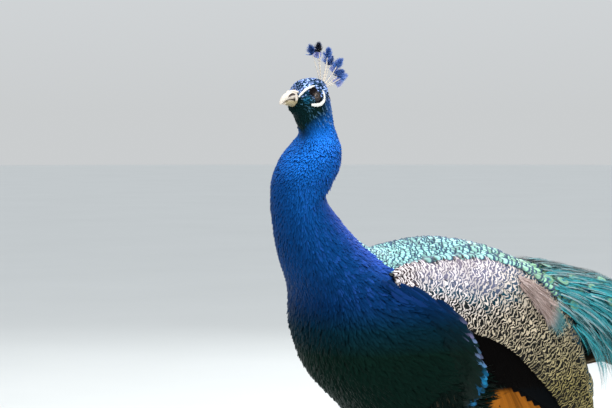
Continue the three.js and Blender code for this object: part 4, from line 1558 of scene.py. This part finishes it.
def make_eyes():
    finish = eye_finish()
    lid = skin_finish("eyelid_skin", (0.030, 0.026, 0.026), (0.008, 0.008, 0.009))
    tree = head_tree()
    for side, label in SIDES:
        centre = eye_centre(side)
        axis = EYE_AXIS * (side, 1, 1)
        u = unit(np.cross((0, 0, 1.0), axis))
        v = np.cross(axis, u)
        turn = np.linspace(0.02, math.pi - 0.02, 44)
        a = all_round(48)
        r = 0.00665 * (1 + 0.035 * np.exp(-(turn / 0.55) ** 2))
        rings = centre + (
            r[:, None, None] * (
                np.cos(turn)[:, None, None] * axis
                + np.sin(turn)[:, None, None] * (np.cos(a)[:, None] * u + np.sin(a)[:, None] * v)
            )
        )
        finish_piece(lofted(f"eye_globe_{label}", rings, finish), "eye", f"eye_{label}")
        rows = []
        for t in np.linspace(0, 1, 9):
            ring = []
            for b in a:
                wide = (0.0047 + 0.0038 * t, (0.0035 if math.sin(b) > 0 else 0.0040) + 0.0040 * t)
                off = wide[0] * math.cos(b) * u + wide[1] * math.sin(b) * v
                flat = np.linalg.norm(off)
                globe = centre + off + axis * (math.sqrt(max(0.0071**2 - min(flat, 0.0070)**2, 0)))
                skin_at, normal = on_head(tree, globe)
                blend = t * t * (3 - 2 * t)
                p = globe * (1 - blend) + skin_at * blend
                p = p + normal * (0.0009 * math.sin(math.pi * min(t * 1.15, 1)) - 0.0006 * t**4)
                ring.append(p)
            rows.append(ring)
        inner = centre + (np.array(rows[0]) - centre) * 0.93
        rows.insert(0, inner)
        faces, maps = ring_faces(len(rows), len(a))
        piece = mesh_piece(f"eyelids_{label}", np.array(rows).reshape(-1, 3), faces, {"OFBake": maps}, lid)
        turn_outward(piece, centre - axis * 0.004)
        finish_piece(piece, "eye")


def turn_outward(piece, inside):
    """Flips an open sheet so that its faces look away from a point."""
    mesh = piece.data
    total = sum((p.center - Vector(inside)).dot(p.normal) * p.area for p in mesh.polygons)
    if total < 0:
        mesh.flip_normals()


BROW = (
    (11.9, 271.2, 820.1), (13.8, 268, 824.8), (15.3, 259.2, 831.8), (16.0, 249.3, 835.7),
    (16.4, 243.5, 836.9),
)
CRESCENT = (
    (19.8, 252.8, 808.7), (21.0, 247.5, 808.4), (21.6, 241.3, 808.6), (21.7, 233.4, 810.9),
    (20.9, 227.5, 817.4), (20.1, 228.0, 826.0), (19.7, 230.9, 830.0),
)
MARKS = ((BROW, (1.2, 1.7, 1.9, 1.7, 0.8)), (CRESCENT, (1.6, 2.3, 2.6, 2.6, 2.3, 1.9, 0.9)))


def make_bare_face():
    finish = skin_finish("white_face_skin", tint("white_skin"), tint("white_skin", 0.8))
    tree = head_tree()
    for side, label in SIDES:
        parts = []
        for line, wide in MARKS:
            path, radii = fine_path(np.array(line) * (side, 1, 1), wide, 8)
            path = row(path)
            rings = []
            run = unit(np.gradient(path, axis=0))
            for i, (p, t, w) in enumerate(zip(path, run, radii)):
                w *= 1 + 0.06 * math.sin(i * 0.9) + 0.03 * math.sin(i * 2.3)
                _, normal = on_head(tree, p)
                across = unit(np.cross(normal, t))
                ring = []
                for q in np.linspace(-1, 1, 9):
                    at, out = on_head(tree, p + across * q * w / 1000)
                    ring.append(at + out * (0.0008 * math.sqrt(max(1 - q * q, 0)) + 0.0001))
                for q in np.linspace(1, -1, 5):
                    at, out = on_head(tree, p + across * q * w / 1000)
                    ring.append(at - out * 0.0008)
                rings.append(ring)
            parts.append(lofted(f"bare_face_{label}_{len(parts)}", rings, finish))
        finish_piece(merged(f"bare_face_{label}", parts), "bill")


DARK_TIP = 1  # the one near black feather, which stands above the rest


def crest_shafts():
    """Root, direction and bare length of each crest shaft, in millimetres."""
    shafts = []
    for i in range(11):
        t = i / 10
        lean = math.radians(20 - 96 * t)
        length = 48 * (1 - 0.3 * t) - 4 * abs(math.sin(i * 2.1)) + (7.5 if i == DARK_TIP else 0)
        d = unit(np.array([0.17 * math.sin(i * 2.4), math.sin(lean), math.cos(lean)]))
        shafts.append((np.array([0, 217 - 7 * t, 840 - 6 * t]), d, length))
    return shafts


def make_crest():
    quill = horn_finish("crest_quill", (0.88, 0.80, 0.68), (0.70, 0.60, 0.48))
    vane = crest_finish()
    rng = np.random.default_rng(SEED + 70)
    thick, barb = 1000 * measure("crest_shaft"), 1000 * measure("crest_barb")
    tubes, at, lie, up, size, uv = [], [], [], [], [], []
    for i, (root, d, length) in enumerate(crest_shafts()):
        bend = np.array([0, -1.6, 0.0]) * (0.4 + 0.1 * i)
        path = np.array([
            root + d * length * q + bend * math.sin(math.pi * q) for q in np.linspace(0, 1.2, 12)
        ])
        rings = tube_rings(path, np.linspace(thick, thick / 2, 12), 6)
        tubes.append(lofted(f"crest_quill_{i}", row(rings), quill))
        flatways = unit(np.cross(d, (1.0, 0, 0)))
        for q in np.concatenate([np.linspace(0, 1, 34), np.linspace(-4, -0.8, 7)]):
            fan = q >= 0
            base = root + d * (length + (11 * q - 2 if fan else 9 * q))
            for hand in (1, -1):
                open_ = math.radians(rng.uniform(40, 60) - 34 * q) if fan else 0.5
                out = unit(d * math.cos(open_) + flatways * hand * math.sin(open_)
                           + np.array([rng.normal(0, 0.6), 0, 0]))
                at.append(base)
                lie.append(out)
                up.append(np.cross(out, flatways * hand + d * 0.3) + (0.4, 0, 0))
                size.append(
                    (barb * 0.42, barb * (1 - 0.42 * q) + rng.uniform(-0.5, 0.5)) if fan else (1.0, 2.2))
                uv.append(((i + 0.5) / 11, 0.5 + 0.11 * q))
    at, uv = row(np.array(at)), np.array(uv)
    lie = np.array(lie) * (1, -1, 1)
    up = np.array(up) * (1, -1, 1)
    size = np.array(size) / 1000
    luck = (uv[:, 0] * 4.1 % 1) * 0.75 + rng.uniform(0, 0.25, len(at))
    luck[np.abs(uv[:, 0] * 11 - 0.5 - DARK_TIP) < 0.1] = 0
    roots = {
        "at": at, "lie": lie, "up": up, "size": np.column_stack([size[:, 0], size[:, 1], size[:, 1]]),
        "root_uv": uv, "place": np.column_stack([np.zeros((len(at), 2)), luck]),
    }
    barbs = laid("crest_vanes", roots, kept(silk_flock), vane)
    finish_piece(merged("crest_quills", tubes), "crest")
    finish_piece(barbs, "crest", "crest")


# ---- legs -----------------------------------------------------------------------


def make_thighs():
    bed = skin_finish("thigh_bed", (0.10, 0.08, 0.05), (0.05, 0.04, 0.03))
    coat = quill_finish(
        "thigh_coat", tint("thigh", 0.75), tint("thigh", 1.25), tint("thigh", 1.4), 0.65,
        above=(285, 335, (0.003, 0.010, 0.008)))
    for side, label in SIDES:
        st = side * STAGGER
        path, radii = fine_path(
            np.array([
                (50, 40, 430), (51, 38, 385), (53, 28, 330), (56, 10 + st * 0.3, 270),
                (58, -10 + st * 0.6, 215), (60, -24 + st, 176), (60, -29 + st, 160),
            ]) * (side, 1, 1), (30, 46, 46, 36, 23, 13.5, 10), 8,
        )
        rings = tube_rings(path, radii, 32)
        depth = np.linspace(5, 2.0, len(path))
        inner = lofted(f"thigh_bed_{label}", row(tube_rings(path, radii - depth, 32)), bed)

        def leg(s, a, path=path, rings=rings):
            wrapped = np.concatenate([rings, rings[:, :1]], 1)
            i = np.clip(s, 0, len(path) - 1.001)
            j = (a % (2 * math.pi)) / (2 * math.pi) * 32
            i0, j0 = i.astype(int), np.clip(j.astype(int), 0, 31)
            fi, fj = (i - i0)[..., None], (j - j0)[..., None]
            low = wrapped[i0, j0] * (1 - fj) + wrapped[i0, j0 + 1] * fj
            high = wrapped[i0 + 1, j0] * (1 - fj) + wrapped[i0 + 1, j0 + 1] * fj
            return row(low * (1 - fi) + high * fi)

        top = len(path) - 1
        s, a = scattered(leg, (8, top - 0.5), (0, 2 * math.pi),
                         lambda s, a: np.interp(s, (8, top), (0.0052, 0.0028)), SEED + 80)
        p, n, t = lie_of(leg, s, a)
        centre = row(path)[np.clip(s.round().astype(int), 0, top)]
        n = n * np.sign(np.sum(n * (p - centre), -1))[:, None]
        rng = np.random.default_rng(SEED + 81)
        length = np.interp(s, (8, top), (0.022, 0.009)) * rng.uniform(0.8, 1.2, len(s))
        deep = np.interp(s, (0, top), (0.005, 0.002))
        lift = np.arcsin(np.clip(deep / length * 0.9, 0, 0.7))[:, None]
        cross = np.cross(n, t)
        t = unit(t + cross * rng.normal(0, 0.15, len(s))[:, None])
        lie, up = lifted(t, n, lift)
        roots = {
            "at": p - n * deep[:, None],
            "lie": lie,
            "up": up,
            "size": np.column_stack([length * 0.45, length, length]),
            "root_uv": np.column_stack([s / top, (a / 2 / math.pi) % 1]),
            "place": np.column_stack([s / top, np.full(len(s), 0.5), rng.uniform(0, 1, len(s))]),
        }
        feathers = laid(f"thigh_coat_{label}", roots, kept(silk_flock), coat)
        finish_piece(inner, "thigh", f"thigh_{label}")
        finish_piece(feathers, "thigh")


def above_floor(points):
    points[..., 2] = np.maximum(points[..., 2], SOLE)
    return points


def make_legs():
    scutes = scute_finish()
    claw = horn_finish("claw_horn", (0.16, 0.14, 0.11), (0.05, 0.045, 0.04), 0.3)
    for side, label in SIDES:
        st = side * STAGGER
        mirror = np.array([side, 1, 1])

        def ringed(points, radii, steps, gap, depth, k=20):
            """A tube whose plates overlap every gap millimetres."""
            path, r = fine_path(np.array(points, float) * mirror, radii, steps)
            run = np.concatenate([[0], np.cumsum(np.linalg.norm(np.diff(path, axis=0), axis=1))])
            r = r - depth * 0.5 + depth * (((run % gap) / gap) ** 2 - 0.5) * -1
            return row(tube_rings(path, r, k))

        shank = [
            lofted("shank_part", ringed(
                ((60, -31 + st, 172), (60, -32 + st, 158), (60.5, -30 + st, 142), (62, -18 + st, 96),
                 (64, -4 + st, 44), (66, 4 + st, 22), (66, 7 + st, 12)),
                (6, 9, 7.4, 6, 6.4, 8.2, 7), 12, 7.0, 0.5), scutes),
        ]
        spur, r = fine_path(
            np.array([(62.5, -12 + st, 74), (60.5, -22.5 + st, 77), (57.5, -33 + st, 86)]) * mirror,
            (4.6, 3.2, 0.5), 6)
        finish_piece(lofted(f"spur_{label}", row(tube_rings(spur, r - 0.1, 12)), claw), "leg")
        finish_piece(merged(f"shank_scales_{label}", shank), "leg", f"shank_{label}")
        toes, claws = [], []
        for heading, length, radius, nail, base in (
            (3, 72, 6.6, 16, (66, 8 + st, 9)), (-34, 48, 5.8, 14, (66, 8 + st, 9)),
            (36, 54, 5.8, 13, (66, 8 + st, 9)), (-158, 26, 4.8, 11, (64, st, 9)),
        ):
            h = math.radians(heading)
            d = np.array([math.sin(h), math.cos(h), 0.0])
            points, radii = [], []
            for i in range(4):
                t = i / 3
                rr = radius * (1 - 0.38 * t) * (1.06 if i % 2 else 0.92)
                p = np.array(base) + d * length * t
                p[2] = base[2] * (1 - t) ** 2 + (rr - 0.5) * (1 - (1 - t) ** 2)
                points.append(p)
                radii.append(rr)
            rings = ringed(points, radii, 14, 4.2, 0.45, 18)
            toes.append(lofted("toe_part", above_floor(rings), scutes))
            tip = points[-1]
            nail_points = [tip + d * -3 + (0, 0, 0.9), tip + d * nail * 0.45 + (0, 0, 1.4), tip + d * nail]
            nail_points[2][2] = 0.9
            path, rr = fine_path(np.array(nail_points) * mirror, (radius * 0.5, radius * 0.36, 0.5), 8)
            claws.append(lofted("claw_part", above_floor(row(tube_rings(path, rr, 12))), claw))
        turn = np.linspace(0.03, math.pi - 0.03, 16)
        a = all_round(24)
        ball = np.array([66.0, 6 + st, 9]) * mirror + 9.3 * np.stack([
            np.sin(turn)[:, None] * np.cos(a), np.sin(turn)[:, None] * np.sin(a),
            np.cos(turn)[:, None] * np.ones_like(a)], -1)
        toes.append(lofted("pad_part", above_floor(row(ball)), scutes))
        finish_piece(merged(f"foot_scales_{label}", toes), "leg", f"foot_{label}")
        finish_piece(merged(f"claws_{label}", claws), "leg")


# ---- tail and train -------------------------------------------------------------


def plan_roots(start, end, width, rise, lift, along, chance, uv, tilt=0.05, seed=0):
    """Roots over the train's plan; start and end are side and forward in millimetres."""
    rng = np.random.default_rng(seed)
    start, end = np.asarray(start, float), np.asarray(end, float)
    count = len(start)
    flat = row(np.column_stack([start, np.zeros(count)]))
    stop = row(np.column_stack([end, np.zeros(count)]))
    length = np.linalg.norm(stop - flat, axis=1)
    d = unit(stop - flat)
    lift = np.broadcast_to(lift, count)[:, None]
    flat[:, 2] = np.broadcast_to(rise, count)
    upward = np.array([0.0, 0.0, 1.0])
    cross = np.cross(upward, d)
    lie, up = lifted(d, upward, lift)
    return {
        "at": flat,
        "lie": lie,
        "up": up + cross * rng.normal(0, tilt, count)[:, None],
        "size": np.column_stack([np.broadcast_to(width, count), length, length]),
        "root_uv": uv,
        "place": np.column_stack([np.broadcast_to(along, count), np.full(count, 0.3), chance]),
    }


TRAIN_START, TRAIN_STOP = 430.0, 1795.0  # how far back the first and last rows lie
TIP_SIDE, TIP_STOP = 208, 1796  # no tip lies past these
HERL_STOP, HERL_SIDE, HERL_FRONT = 1805, 228, 330  # no barb reaches past these


def train_half_width(forward):
    order = BODY[16:]
    return np.interp(-forward, -(order[:, 0] + order[:, 2]) / 2, order[:, 4])


def train_plan():
    """Each train feather's start and tip over the plan, and its rank from short to long."""
    rng = np.random.default_rng(SEED + 90)
    feathers = []
    back = TRAIN_START
    row_number = 0
    while back < TRAIN_STOP:
        wide = float(train_half_width(-back)) * 0.97
        if back > 1700:
            wide *= max(0.15, 1 - ((back - 1700) / 110) ** 2)
        gap = np.interp(back, (TRAIN_START, 900, TRAIN_STOP), (44, 52, 50))
        count = max(1, int(2 * wide / gap))
        for j in range(count + 1):
            t = (j + 0.5 * (row_number % 2)) / max(count, 1)
            if t > 1.0:
                continue
            x = (2 * t - 1) * wide + rng.uniform(-6, 6)
            f = -back - rng.uniform(-12, 12)
            root = (x * 0.22 + rng.uniform(-8, 8), -240 - 60 * (back / TRAIN_STOP))
            rank = (back - TRAIN_START) / (TRAIN_STOP - TRAIN_START)
            feathers.append((*root, np.clip(x, -TIP_SIDE, TIP_SIDE), max(f, -TIP_STOP), rank))
        back += gap * 0.82
        row_number += 1
    ends = np.linspace(1640, 1752, 57)
    for x in np.arange(-150, 151, 10.0):
        back = ends[train_half_width(-ends) >= abs(x)][-1] + rng.uniform(-8, 12)
        feathers.append((x * 0.22, -300, x, -back, 1.0))
    return np.array(feathers)


def spray(blades, thick, seed):
    """Long loose barbs side by side."""
    rng = np.random.default_rng(seed)
    points, faces, maps = [], [], []
    for b in range(blades):
        u = (b + 0.5) / blades
        lean = 0.5 * (u - 0.5) + rng.uniform(-0.04, 0.04)
        length = 1 - 0.15 * rng.uniform(0, 1.5)
        phase, start = rng.uniform(0, 1.5), len(points)
        for i in range(5):
            t = i / 4
            x = lean * (0.6 + t) + 0.06 * math.sin(4 * t + b + phase)
            w = thick * (1 - t * 0.85)
            z = 0.05 * math.sin(math.pi * t) + 0.05 * u - 0.02
            for half in ((-w, w) if i < 4 else (0,)):
                points.append((x + half, length * t, z))
        for i in range(4):
            a, last = start + 2 * i, i == 3
            faces.append((a, a + 1, a + 2) if last else (a, a + 1, a + 3, a + 2))
            edge = (u - 0.4 / blades, u + 0.4 / blades)
            maps += [(edge[0], i / 4), (edge[1], i / 4)]
            maps += [(u, 1.0)] if last else [(edge[1], (i + 1) / 4), (edge[0], (i + 1) / 4)]
    return mesh_piece("spray", points, faces, {"Vane": maps}, link=False)


def sunk(forward):
    """How far the feathers of the train lie below its outer form, in metres below nought."""
    back = (430, 1200, 1600, 1690, 1740, 1800)
    return -np.interp(-forward, back, (0.001, 0.0046, 0.0062, 0.0035, 0.001, 0))


def make_train():
    guide = plan_guide("train_guide", body, (13, 31), -1, (140, -1850), 300)
    plan = train_plan()
    rng = np.random.default_rng(SEED + 91)
    chance = rng.uniform(0, 1, len(plan))
    start, tip = plan[:, :2], plan[:, 2:4]
    rank = plan[:, 4]
    d = unit(tip - start)
    rise = sunk(tip[:, 1])
    size = np.interp(rank, (0, 0.3, 1), (0.7, 0.88, 1.0)) * 1000 * measure("train_eye")
    spotted = rank < 0.968
    uv, cell = cells(spotted.sum())
    eye_tip = tip[spotted]
    roots = plan_roots(
        eye_tip - d[spotted] * size[spotted, None], eye_tip, size[spotted] / 1000 * 0.86,
        rise[spotted] + 0.0022, 0.03, rank[spotted], chance[spotted], uv, 0.08, SEED + 92,
    )
    spots = laid("train_eyespots", roots, vaned("spot"), eyespot_finish(), 0.92 / cell, guide)
    finish_piece(settled(spots), "train")
    finish = herl_finish()
    at, end, wide, high, along, luck, uvs = [], [], [], [], [], [], []
    for i in range(len(plan)):
        total = np.linalg.norm(tip[i] - start[i])
        reach = min(total, 110 if rank[i] == 1 else 300 if rank[i] > 0.2 else 200)
        for back in np.arange(8, reach, 10.5):
            p = tip[i] - d[i] * back
            for hand in (1, -1):
                spread = math.radians(rng.uniform(22, 34))
                side = np.array([-d[i][1], d[i][0]]) * hand
                out = d[i] * math.cos(spread) + side * math.sin(spread)
                length = rng.uniform(34, 52) * min(1.0, 0.5 + back / 60)
                q = p + out * length
                if q[1] < -HERL_STOP or abs(q[0]) > HERL_SIDE or p[1] > -HERL_FRONT:
                    continue
                at.append(p)
                end.append(q)
                wide.append(length * 0.9 / 1000)
                level = sunk(p[1]) - 0.0006 if rank[i] == 1 else rise[i]
                high.append(level - 0.0010 + rng.uniform(-0.0008, 0.0008))
                along.append(rank[i])
                luck.append(np.clip(chance[i] * 0.5 + rng.uniform(0, 0.5), 0, 1))
                uvs.append(((p[0] + 230) / 460, -p[1] / 1820))
    at, end = np.array(at), np.array(end)
    arrays = [np.array(v) for v in (wide, high, along, luck, uvs)]
    third = math.ceil(len(at) / 3)
    barbs = spray_flock("herl", 5, 0.035, (0, 3))
    for k, name in enumerate(("train_herl_upper", "train_herl_middle", "train_herl_lower")):
        part = slice(k * third, (k + 1) * third)
        wide, high, along, luck, uvs = (v[part] for v in arrays)
        roots = plan_roots(at[part], end[part], wide, high, 0.03, along, luck, uvs, 0.2, SEED + 93)
        finish_piece(settled(laid(name, roots, barbs, finish, 0.003, guide)), "train")
    long = rank < 1
    roots = plan_roots(
        start[long], (tip - d * 12)[long], 0.0016, rise[long] + 0.001, 0.0, rank[long], chance[long],
        np.column_stack([rank, chance])[long],
    )
    finish = horn_finish("train_shaft", (0.42, 0.38, 0.24), (0.26, 0.22, 0.13))
    shape = flock("shaft", [vane_shape("shaft", 2, 40, ((0, 1), (1, 0.4)), -0.0006, 0, 0, 1)])
    quills = laid("train_shafts", roots, shape, finish, 0.003, guide)
    finish_piece(settled(quills), "train")
    bpy.data.objects.remove(guide)


def make_train_underside():
    finish = quill_finish("under_train", (0.10, 0.085, 0.065), (0.20, 0.17, 0.13), (0.24, 0.21, 0.16), 0.6)
    tufts(
        "train_underside", "train", (20.2, 30.4), (math.pi - 1.5, math.pi + 1.5),
        0.013, 0.05, 0.018,
        lambda s: coat_depth(s) / 1000 * 0.8, kept(silk_flock), finish, SEED + 95, stray=0.25, rise=0.6,
    )


def make_tail():
    finish = quill_finish("tail_quills", (0.16, 0.11, 0.06), (0.26, 0.19, 0.11), (0.32, 0.25, 0.16), 0.5)
    s, a = np.meshgrid(np.linspace(0.02, 3.95, 26), all_round(36), indexing="ij")
    bed = lofted("tail_bed", row(section(TAIL, s, a, -2.0)), finish)
    finish_piece(bed, "tail_brown", "tail")
    count = 18
    t = np.linspace(-1, 1, count)
    start = np.column_stack([t * 22, np.full(count, -350.0)])
    tip = np.column_stack([t * 84, -736 + 60 * np.abs(t) ** 1.5])
    guide = plan_guide(
        "tail_guide", lambda s, a: row(section(TAIL, s, a, -0.6)), (0, 4), 1, (-320, -760), 130
    )
    uv, grid = cells(count)
    roots = plan_roots(start, tip, 0.034, 0.0, 0.0, np.abs(t), np.linspace(0, 1, count), uv, 0.02, SEED + 97)
    roots["at"][:, 2] = -0.0002 * (1 + np.arange(count) % 3)
    vanes = laid("tail_quills", roots, vaned("quill"), finish, 0.9 / grid, guide, (0.0, 0.0, 1.0))
    finish_piece(vanes, "tail_brown")
    bpy.data.objects.remove(guide)


# ---- stage ----------------------------------------------------------------------


def make_stage(azimuth, rise, distance, lens, glow):
    finish = ground_finish()
    k, rings = 96, []
    a = all_round(k)
    for r in (0.2, 1.0, 4.0, 12.0, 30.0):
        rings.append(np.stack([r * np.cos(a), r * np.sin(a), np.zeros(k)], -1))
    points = np.concatenate([np.array(rings).reshape(-1, 3), [(0, 0, 0)]])
    faces = ring_faces(5, k)[0] + [(5 * k, (j + 1) % k, j) for j in range(k)]
    floor = mesh_piece("studio_floor", points, faces, None, finish)
    turn_outward(floor, (0, 0, -1))
    bpy.context.scene.view_settings.view_transform = "Standard"
    world = bpy.data.worlds.new("soft_sky")
    bpy.context.scene.world = world
    world.use_nodes = True
    sky = Nodes(world.node_tree)
    level = sky.split(sky.add("ShaderNodeTexCoord", {}, {}, "Generated"))[2]
    colour = sky.ramp(level, (
        (0.0, (0.66, 0.68, 0.69)), (0.12, (0.76, 0.80, 0.83)), (0.6, (0.86, 0.91, 0.97)),
    ))
    sky.add("ShaderNodeOutputWorld", {}, {
        "Surface": sky.add("ShaderNodeBackground", {}, {"Color": colour, "Strength": glow})})
    aim = Vector(row((0, 246, 662)))
    for name, place, size, power, colour in (
        ("top_light", (0.3, -0.6, 3.4), 3.2, 110, (1.0, 0.99, 0.96)),
        ("front_light", (3.4, -3.0, 1.9), 2.4, 55, (1.0, 0.98, 0.96)),
        ("back_light", (-2.4, 2.2, 2.4), 2.4, 45, (0.92, 0.96, 1.0)),
    ):
        lamp = bpy.data.lights.new(name, "AREA")
        lamp.size, lamp.energy, lamp.color = size, power, colour
        light = bpy.data.objects.new(name, lamp)
        light.location = Vector(place)
        light.rotation_euler = (Vector((0, -0.6, 0.5)) - Vector(place)).to_track_quat("-Z", "Y").to_euler()
        bpy.context.scene.collection.objects.link(light)
    back = Vector((math.sin(azimuth) * math.cos(rise), -math.cos(azimuth) * math.cos(rise), math.sin(rise)))
    camera = bpy.data.cameras.new("view_camera")
    camera.lens, camera.sensor_width = lens, 36.0
    camera.clip_start, camera.clip_end = 0.05, 100.0
    holder = bpy.data.objects.new("view_camera", camera)
    holder.location = aim + back * distance
    holder.rotation_euler = (-back).to_track_quat("-Z", "Y").to_euler()
    bpy.context.scene.collection.objects.link(holder)
    bpy.context.scene.camera = holder


# ---- the add-on -----------------------------------------------------------------


def colour(name, description, default):
    return bpy.props.FloatVectorProperty(
        name=name, description=description, subtype="COLOR", size=3, min=0, max=1, default=default)


def length(name, description, default):
    return bpy.props.FloatProperty(
        name=name, description=description, unit="LENGTH", min=0.0002, default=default)


class PeafowlColours(bpy.types.PropertyGroup):
    neck: colour("Neck", "Brightest blue of neck and breast", (0.006, 0.125, 0.5))
    nape: colour("Nape", "Violet blue down the back of the neck", (0.028, 0.085, 0.42))
    belly: colour("Belly", "Near black green of belly and lower breast", (0.0016, 0.009, 0.0065))
    throat: colour("Throat", "Dark green below the bill", (0.002, 0.013, 0.014))
    crown: colour("Crown", "Glints of the crown feathers", (0.34, 0.48, 0.92))
    mantle: colour("Mantle", "Ground of the scale feathers on the back", (0.24, 0.5, 0.47))
    mantle_rim: colour("Mantle Rim", "Dark edge of the scale feathers", (0.008, 0.05, 0.11))
    bar_light: colour("Bar Ground", "Pale ground of the barred coverts", (0.76, 0.70, 0.71))
    plume: colour("Rump Plume", "Teal of the loose plumes", (0.03, 0.3, 0.34))
    bill: colour("Bill", "Pale horn of the upper bill", (0.8, 0.72, 0.63))
    white_skin: colour("White Skin", "Bare skin of the face", (0.82, 0.82, 0.78))
    thigh: colour("Thigh", "Buff of the lower thigh", (0.4, 0.32, 0.2))


class PeafowlSizes(bpy.types.PropertyGroup):
    neck_feather: length("Neck Feather", "Width of a neck feather below the head", 0.004)
    mantle_scale: length("Mantle Scale", "Width of a scale feather on the middle of the back", 0.019)
    bar_gap: length("Bar Gap", "From one bar of the coverts to the next", 0.0065)
    rump_plume: length("Rump Plume", "Length of a loose plume of the rump", 0.078)
    crest_shaft: length("Crest Shaft", "Radius of a crest shaft at its root", 0.00088)
    crest_barb: length("Crest Barb", "Length of the longest barbs of the crest", 0.0122)
    train_eye: length("Train Eye", "Length of the largest eye of the train", 0.048)


class PeafowlStage(bpy.types.PropertyGroup):
    azimuth: bpy.props.FloatProperty(
        name="Azimuth", description="Turn of the camera round the bird", subtype="ANGLE",
        default=math.radians(48))
    rise: bpy.props.FloatProperty(
        name="Rise", description="Camera's angle above the level", subtype="ANGLE",
        default=math.radians(2.3))
    distance: bpy.props.FloatProperty(
        name="Distance", description="Camera to the bird's shoulder", unit="LENGTH", default=3.5)
    lens: bpy.props.FloatProperty(name="Lens", description="Focal length", unit="CAMERA", default=139.0)
    glow: bpy.props.FloatProperty(
        name="Sky", description="Strength of the soft light from all round", subtype="FACTOR",
        min=0, soft_max=2, default=0.9)


class PEAFOWL_OT_skin(bpy.types.Operator):
    """Makes the one skin of head, neck, body and train"""

    bl_idname = "peafowl.skin"
    bl_label = "Skin"

    def execute(self, context):
        make_skin()
        return {"FINISHED"}


class PEAFOWL_OT_coat(bpy.types.Operator):
    """Lays the feathers of head, neck, breast and belly"""

    bl_idname = "peafowl.coat"
    bl_label = "Coat"

    def execute(self, context):
        make_head_coat()
        make_neck_coat()
        make_breast_coat()
        return {"FINISHED"}


class PEAFOWL_OT_mantle(bpy.types.Operator):
    """Lays the green scale feathers of the back"""

    bl_idname = "peafowl.mantle"
    bl_label = "Mantle"

    def execute(self, context):
        make_mantle()
        return {"FINISHED"}


class PEAFOWL_OT_wings(bpy.types.Operator):
    """Lays barred coverts, secondaries and primaries"""

    bl_idname = "peafowl.wings"
    bl_label = "Wings"

    def execute(self, context):
        make_wings()
        return {"FINISHED"}


class PEAFOWL_OT_flank(bpy.types.Operator):
    """Laps the breast over the wing and lays the down behind it"""

    bl_idname = "peafowl.flank"
    bl_label = "Flank"

    def execute(self, context):
        make_flank()
        return {"FINISHED"}


class PEAFOWL_OT_face(bpy.types.Operator):
    """Makes the bill with its cere, the eyes and the white bare skin"""

    bl_idname = "peafowl.face"
    bl_label = "Face"

    def execute(self, context):
        make_bill()
        make_eyes()
        make_bare_face()
        return {"FINISHED"}


class PEAFOWL_OT_crest(bpy.types.Operator):
    """Makes the fan on the crown"""

    bl_idname = "peafowl.crest"
    bl_label = "Crest"

    def execute(self, context):
        make_crest()
        return {"FINISHED"}


class PEAFOWL_OT_legs(bpy.types.Operator):
    """Makes feathered thighs, shanks, spurs, feet and claws"""

    bl_idname = "peafowl.legs"
    bl_label = "Legs"

    def execute(self, context):
        make_thighs()
        make_legs()
        return {"FINISHED"}


class PEAFOWL_OT_rump(bpy.types.Operator):
    """Lays the loose plumes and small eyes of the rump"""

    bl_idname = "peafowl.rump"
    bl_label = "Rump"

    def execute(self, context):
        make_rump()
        return {"FINISHED"}


class PEAFOWL_OT_train(bpy.types.Operator):
    """Makes the brown tail, the long feathers of the train and the plain ones below"""

    bl_idname = "peafowl.train"
    bl_label = "Train"

    def execute(self, context):
        make_tail()
        make_train()
        make_train_underside()
        return {"FINISHED"}


class PEAFOWL_OT_stage(bpy.types.Operator):
    """Makes floor, lights and camera"""

    bl_idname = "peafowl.stage"
    bl_label = "Stage"

    def execute(self, context):
        s = context.scene.peafowl_stage
        make_stage(s.azimuth, s.rise, s.distance, s.lens, s.glow)
        return {"FINISHED"}


STEPS = (
    PEAFOWL_OT_skin,
    PEAFOWL_OT_coat,
    PEAFOWL_OT_mantle,
    PEAFOWL_OT_wings,
    PEAFOWL_OT_flank,
    PEAFOWL_OT_face,
    PEAFOWL_OT_crest,
    PEAFOWL_OT_legs,
    PEAFOWL_OT_rump,
    PEAFOWL_OT_train,
    PEAFOWL_OT_stage,
)
GROUPS = {"peafowl_colours": PeafowlColours, "peafowl_sizes": PeafowlSizes, "peafowl_stage": PeafowlStage}


class PEAFOWL_PT_panel(bpy.types.Panel):
    """Lists every step of the bird, its colours and sizes, and its stage."""

    bl_label = "Peafowl"
    bl_idname = "PEAFOWL_PT_panel"
    bl_space_type = "VIEW_3D"
    bl_region_type = "UI"
    bl_category = "Peafowl"

    def draw(self, context):
        for step in STEPS:
            self.layout.operator(step.bl_idname)
        for name, group in GROUPS.items():
            for key in group.__annotations__:
                self.layout.prop(getattr(context.scene, name), key)


CLASSES = (*GROUPS.values(), *STEPS, PEAFOWL_PT_panel)


def register():
    for cls in CLASSES:
        bpy.utils.register_class(cls)
    for name, group in GROUPS.items():
        setattr(bpy.types.Scene, name, bpy.props.PointerProperty(type=group))


def unregister():
    for name in GROUPS:
        delattr(bpy.types.Scene, name)
    for cls in reversed(CLASSES):
        bpy.utils.unregister_class(cls)


def main():
    register()
    for step in STEPS:
        group, name = step.bl_idname.split(".")
        getattr(getattr(bpy.ops, group), name)()


if __name__ == "__main__":
    main()
